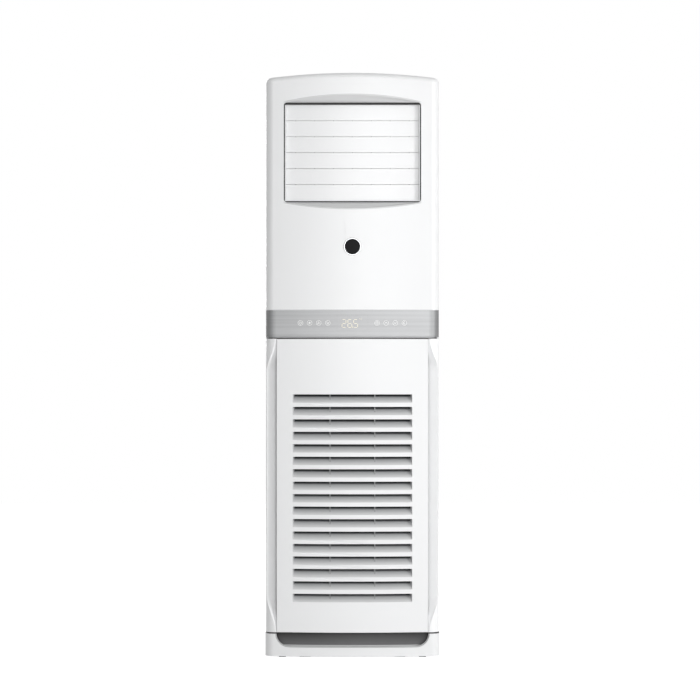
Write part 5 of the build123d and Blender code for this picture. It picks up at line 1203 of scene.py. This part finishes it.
class MakeCoil(bpy.types.Operator):
    """Fine fin pack between the end plates, with copper return bends"""

    bl_idname = "aircon.coil"
    bl_label = "Coil"

    def execute(self, context):
        look = context.scene.inside_look
        step = (2 * COIL_HALF_WIDTH - look.fin_thickness) / (look.fins - 1)
        tree = Grower(
            "coil_fin_pack",
            Fins=look.fins, Pitch=step, Thickness=look.fin_thickness,
            Length=COIL_LENGTH, Depth=COIL_THICKNESS,
        )
        fin = tree.box(tree.size("Thickness"), tree.size("Depth"), tree.size("Length"))
        up = Vector((0.0, math.sin(COIL_TILT), math.cos(COIL_TILT)))
        start = COIL_FOOT + up * COIL_LENGTH / 2
        first = tree.vector(-COIL_HALF_WIDTH + look.fin_thickness / 2, start.y, start.z)
        turn = tree.vector(x=-COIL_TILT)
        pack = tree.row(tree.size("Fins"), tree.vector(x=tree.size("Pitch")), first, fin, turn)
        fins = tree.grow("coil_fin_pack", tree.painted(pack, material("aluminium")))
        seat(fins, "cabinet", "fin_aluminium", "coil_fins")
        dress("zinc", "coil_end_plates")
        dress("copper", "coil_tubes")
        dress("foam", "drain_pan")
        return {"FINISHED"}


class MakePipework(bpy.types.Operator):
    """Refrigerant pipes, flare nuts and the ribbed drain hose"""

    bl_idname = "aircon.pipework"
    bl_label = "Pipework"

    def execute(self, context):
        dress("copper", "refrigerant_pipes")
        dress("brass", "flare_nuts")
        dress("hose", "drain_hose")
        return {"FINISHED"}


class MakeElectrics(bpy.types.Operator):
    """Control box, its cover and the terminal block"""

    bl_idname = "aircon.electrics"
    bl_label = "Electrics"

    def execute(self, context):
        dress("zinc", "control_box", "control_box_cover")
        dress("terminal", "terminal_block")
        return {"FINISHED"}


def islands(mesh):
    """Lowest and highest corner of each separate part of a mesh."""
    shape = merged(mesh)
    left = set(shape.verts)
    found = []
    for first in shape.verts:
        if first not in left:
            continue
        left.discard(first)
        reached, part = [first], []
        while reached:
            vert = reached.pop()
            part.append(vert.co.copy())
            for edge in vert.link_edges:
                other = edge.other_vert(vert)
                if other in left:
                    left.discard(other)
                    reached.append(other)
        low = Vector(min(co[k] for co in part) for k in range(3))
        high = Vector(max(co[k] for co in part) for k in range(3))
        found.append((low, high))
    shape.free()
    return found


HEAD_DEPTH = 0.002
HEAD_TOP = 0.62  # shares of the head's radius
CROSS_LONG = 0.95
CROSS_SHORT = 0.22
CROSS_DEPTH = 0.0024
SHANK_RADIUS = 0.0021
SHANK_REACH = 0.006


class MakeScrews(bpy.types.Operator):
    """Cross-head screws that hold the rear panel and the wall bracket"""

    bl_idname = "aircon.screws"
    bl_label = "Screws"

    def execute(self, context):
        parts = islands(NODES["screws"].data)
        places = bpy.data.meshes.new("screw_places")
        places.from_pydata([((a.x + b.x) / 2, b.y, (a.z + b.z) / 2) for a, b in parts], [], [])
        low, high = parts[-1]  # all are of one size
        radius = (high.x - low.x) / 2
        tree = Grower("cross_head_screw", Head=radius, Shank=SHANK_RADIUS, Reach=SHANK_REACH)
        head = tree.size("Head")
        top = tree.times(head, HEAD_TOP)
        inputs = {"Vertices": 24, "Radius Top": top, "Radius Bottom": head, "Depth": HEAD_DEPTH}
        cap = tree.node("GeometryNodeMeshCone", inputs=inputs)
        long, short = tree.times(head, CROSS_LONG), tree.times(head, CROSS_SHORT)
        cross = tree.join(tree.box(long, short, CROSS_DEPTH), tree.box(short, long, CROSS_DEPTH))
        inputs = {"Mesh 1": cap, "Mesh 2": tree.moved(cross, (0, 0, HEAD_DEPTH))}
        cut = tree.node("GeometryNodeMeshBoolean", {"operation": "DIFFERENCE"}, inputs)
        inputs = {"Vertices": 16, "Radius": tree.size("Shank"), "Depth": tree.size("Reach")}
        shank = tree.node("GeometryNodeMeshCylinder", inputs=inputs)
        below = tree.moved(shank, (0, 0, -SHANK_REACH / 2))
        whole = tree.join(cut, below)
        screw = tree.moved(whole, (0, -HEAD_DEPTH, 0), (-math.pi / 2, 0, 0))
        row = tree.copies(tree.start.outputs[0], screw)
        screws = tree.grow("cross_head_screws", tree.painted(row, material("steel")), places)
        seat(screws, "cabinet", "shaft_steel", "screws")
        return {"FINISHED"}


# ---------------- studio
SENSOR_WIDTH = 36.0
SIGHT_X = 0.0072  # where the picture's middle meets the front
SIGHT_Z = 0.920
FLOOR_REACH = 9


def seen_plainly(tree):
    """1 for what the camera sees, also in gloss and through clear things, else 0."""
    rays = add_node(tree, "ShaderNodeLightPath").outputs
    seen = rays["Is Camera Ray"]
    for ray in ("Is Glossy Ray", "Is Transmission Ray"):
        inputs = {0: seen, 1: rays[ray]}
        seen = add_node(tree, "ShaderNodeMath", {"operation": "MAXIMUM"}, inputs).outputs[0]
    return seen


def backdrop_white(name):
    """Floor that looks white past the object and still keeps its soft shadow."""
    finish = Finish(name)
    finish.set(Base_Color=(0.82, 0.82, 0.82), Roughness=0.9, Specular_IOR_Level=0.0)
    floor = finish.shader.outputs[0]
    glow = finish.node("ShaderNodeEmission", {}, {"Color": (1.0, 1.0, 1.0), "Strength": 0.80})
    bright = finish.node("ShaderNodeAddShader", {}, {0: floor, 1: glow.outputs[0]})
    inputs = {0: seen_plainly(finish.tree), 1: floor, 2: bright.outputs[0]}
    both = finish.node("ShaderNodeMixShader", {}, inputs)
    surface = finish.tree.nodes["Material Output"].inputs["Surface"]
    finish.tree.links.new(both.outputs[0], surface)
    return finish.material


def lamp(name, power, size, place, target):
    light = bpy.data.lights.new(name, "AREA")
    light.energy = power
    light.shape = "RECTANGLE"
    light.size, light.size_y = size
    hung = add_object(name, light)
    hung.location = place
    aim = Vector(target) - Vector(place)
    hung.rotation_euler = aim.to_track_quat("-Z", "Y").to_euler()


class MakeStudio(bpy.types.Operator):
    """Pale floor, soft lamps, white surroundings and the camera"""

    bl_idname = "aircon.studio"
    bl_label = "Studio"

    def execute(self, context):
        scene = context.scene
        look = scene.studio_look
        mesh = bpy.data.meshes.new("studio_floor")
        corners = ((-1, -1), (1, -1), (1, 1), (-1, 1))
        corners = [(x * FLOOR_REACH, y * FLOOR_REACH, 0) for x, y in corners]
        mesh.from_pydata(corners, [], [(0, 1, 2, 3)])
        floor = add_object("studio_floor", mesh)
        paint(floor, backdrop_white("studio_floor_white"))
        lamp("key_light", look.key, (1.8, 3.0), (4.6, -3.4, 1.35), (0, 0, 0.7))
        lamp("front_light", look.front, (2.4, 3.4), (0.6, -6.0, 1.05), (0, 0, 0.7))
        lamp("back_light", look.back, (2.4, 3.0), (-2.2, 5.6, 2.4), (0, 0, 0.9))
        self.surround(scene, look)
        camera = bpy.data.cameras.new("camera")
        camera.lens = look.lens
        camera.sensor_width = SENSOR_WIDTH
        camera.clip_end = 60.0
        across = SENSOR_WIDTH / look.lens * (look.distance + FRONT_Y)
        camera.shift_x = -SIGHT_X / across
        camera.shift_y = (SIGHT_Z - look.eye) / across
        scene.camera = add_object("camera", camera)
        scene.camera.location = (0.0, -look.distance, look.eye)
        scene.camera.rotation_euler = (math.pi / 2, 0, 0)
        scene.view_settings.view_transform = "Standard"
        return {"FINISHED"}

    def surround(self, scene, look):
        """Soft room light that looks white to the camera and in gloss."""
        world = bpy.data.worlds.new("soft_room")
        world.use_nodes = True
        scene.world = world
        tree = world.node_tree
        back = tree.nodes["Background"]
        back.inputs["Color"].default_value = (1.0, 1.0, 1.0, 1.0)
        inputs = {"Value": seen_plainly(tree), "To Min": look.room, "To Max": 1.0}
        strength = add_node(tree, "ShaderNodeMapRange", {}, inputs)
        tree.links.new(strength.outputs[0], back.inputs["Strength"])


OPERATORS = [
    MakeTopCover, MakeSteelCabinet, MakePlinth, MakeIntakePanel, MakeGripPosts, MakeUpperFront,
    MakeBadge, MakeControlBand, MakeDigits, MakeKeySigns, MakeOutletBlades, MakeOutletInside,
    MakeFilter, MakeBlower, MakeCoil, MakePipework, MakeElectrics, MakeScrews, MakeStudio,
]


class AirConditionerPanel(bpy.types.Panel):
    """Sizes, colours and making steps of the air conditioner"""

    bl_idname = "AIRCON_PT_panel"
    bl_label = "Air Conditioner"
    bl_space_type = "VIEW_3D"
    bl_region_type = "UI"
    bl_category = "Air Conditioner"

    def draw(self, context):
        for name, group in GROUPS.items():
            box = self.layout.box()
            box.label(text=name.replace("_", " ").capitalize())
            for prop in group.__annotations__:
                box.prop(getattr(context.scene, name), prop)
        for operator in OPERATORS:
            self.layout.operator(operator.bl_idname)


def register():
    for group in GROUPS.values():
        bpy.utils.register_class(group)
    for name, group in GROUPS.items():
        setattr(bpy.types.Scene, name, bpy.props.PointerProperty(type=group))
    for operator in OPERATORS:
        bpy.utils.register_class(operator)
    bpy.utils.register_class(AirConditionerPanel)


def unregister():
    bpy.utils.unregister_class(AirConditionerPanel)
    for operator in reversed(OPERATORS):
        bpy.utils.unregister_class(operator)
    for name in GROUPS:
        delattr(bpy.types.Scene, name)
    for group in reversed(list(GROUPS.values())):
        bpy.utils.unregister_class(group)


def main():
    register()
    for operator in OPERATORS:
        group, name = operator.bl_idname.split(".")
        getattr(getattr(bpy.ops, group), name)()


if __name__ == "__main__":
    main()
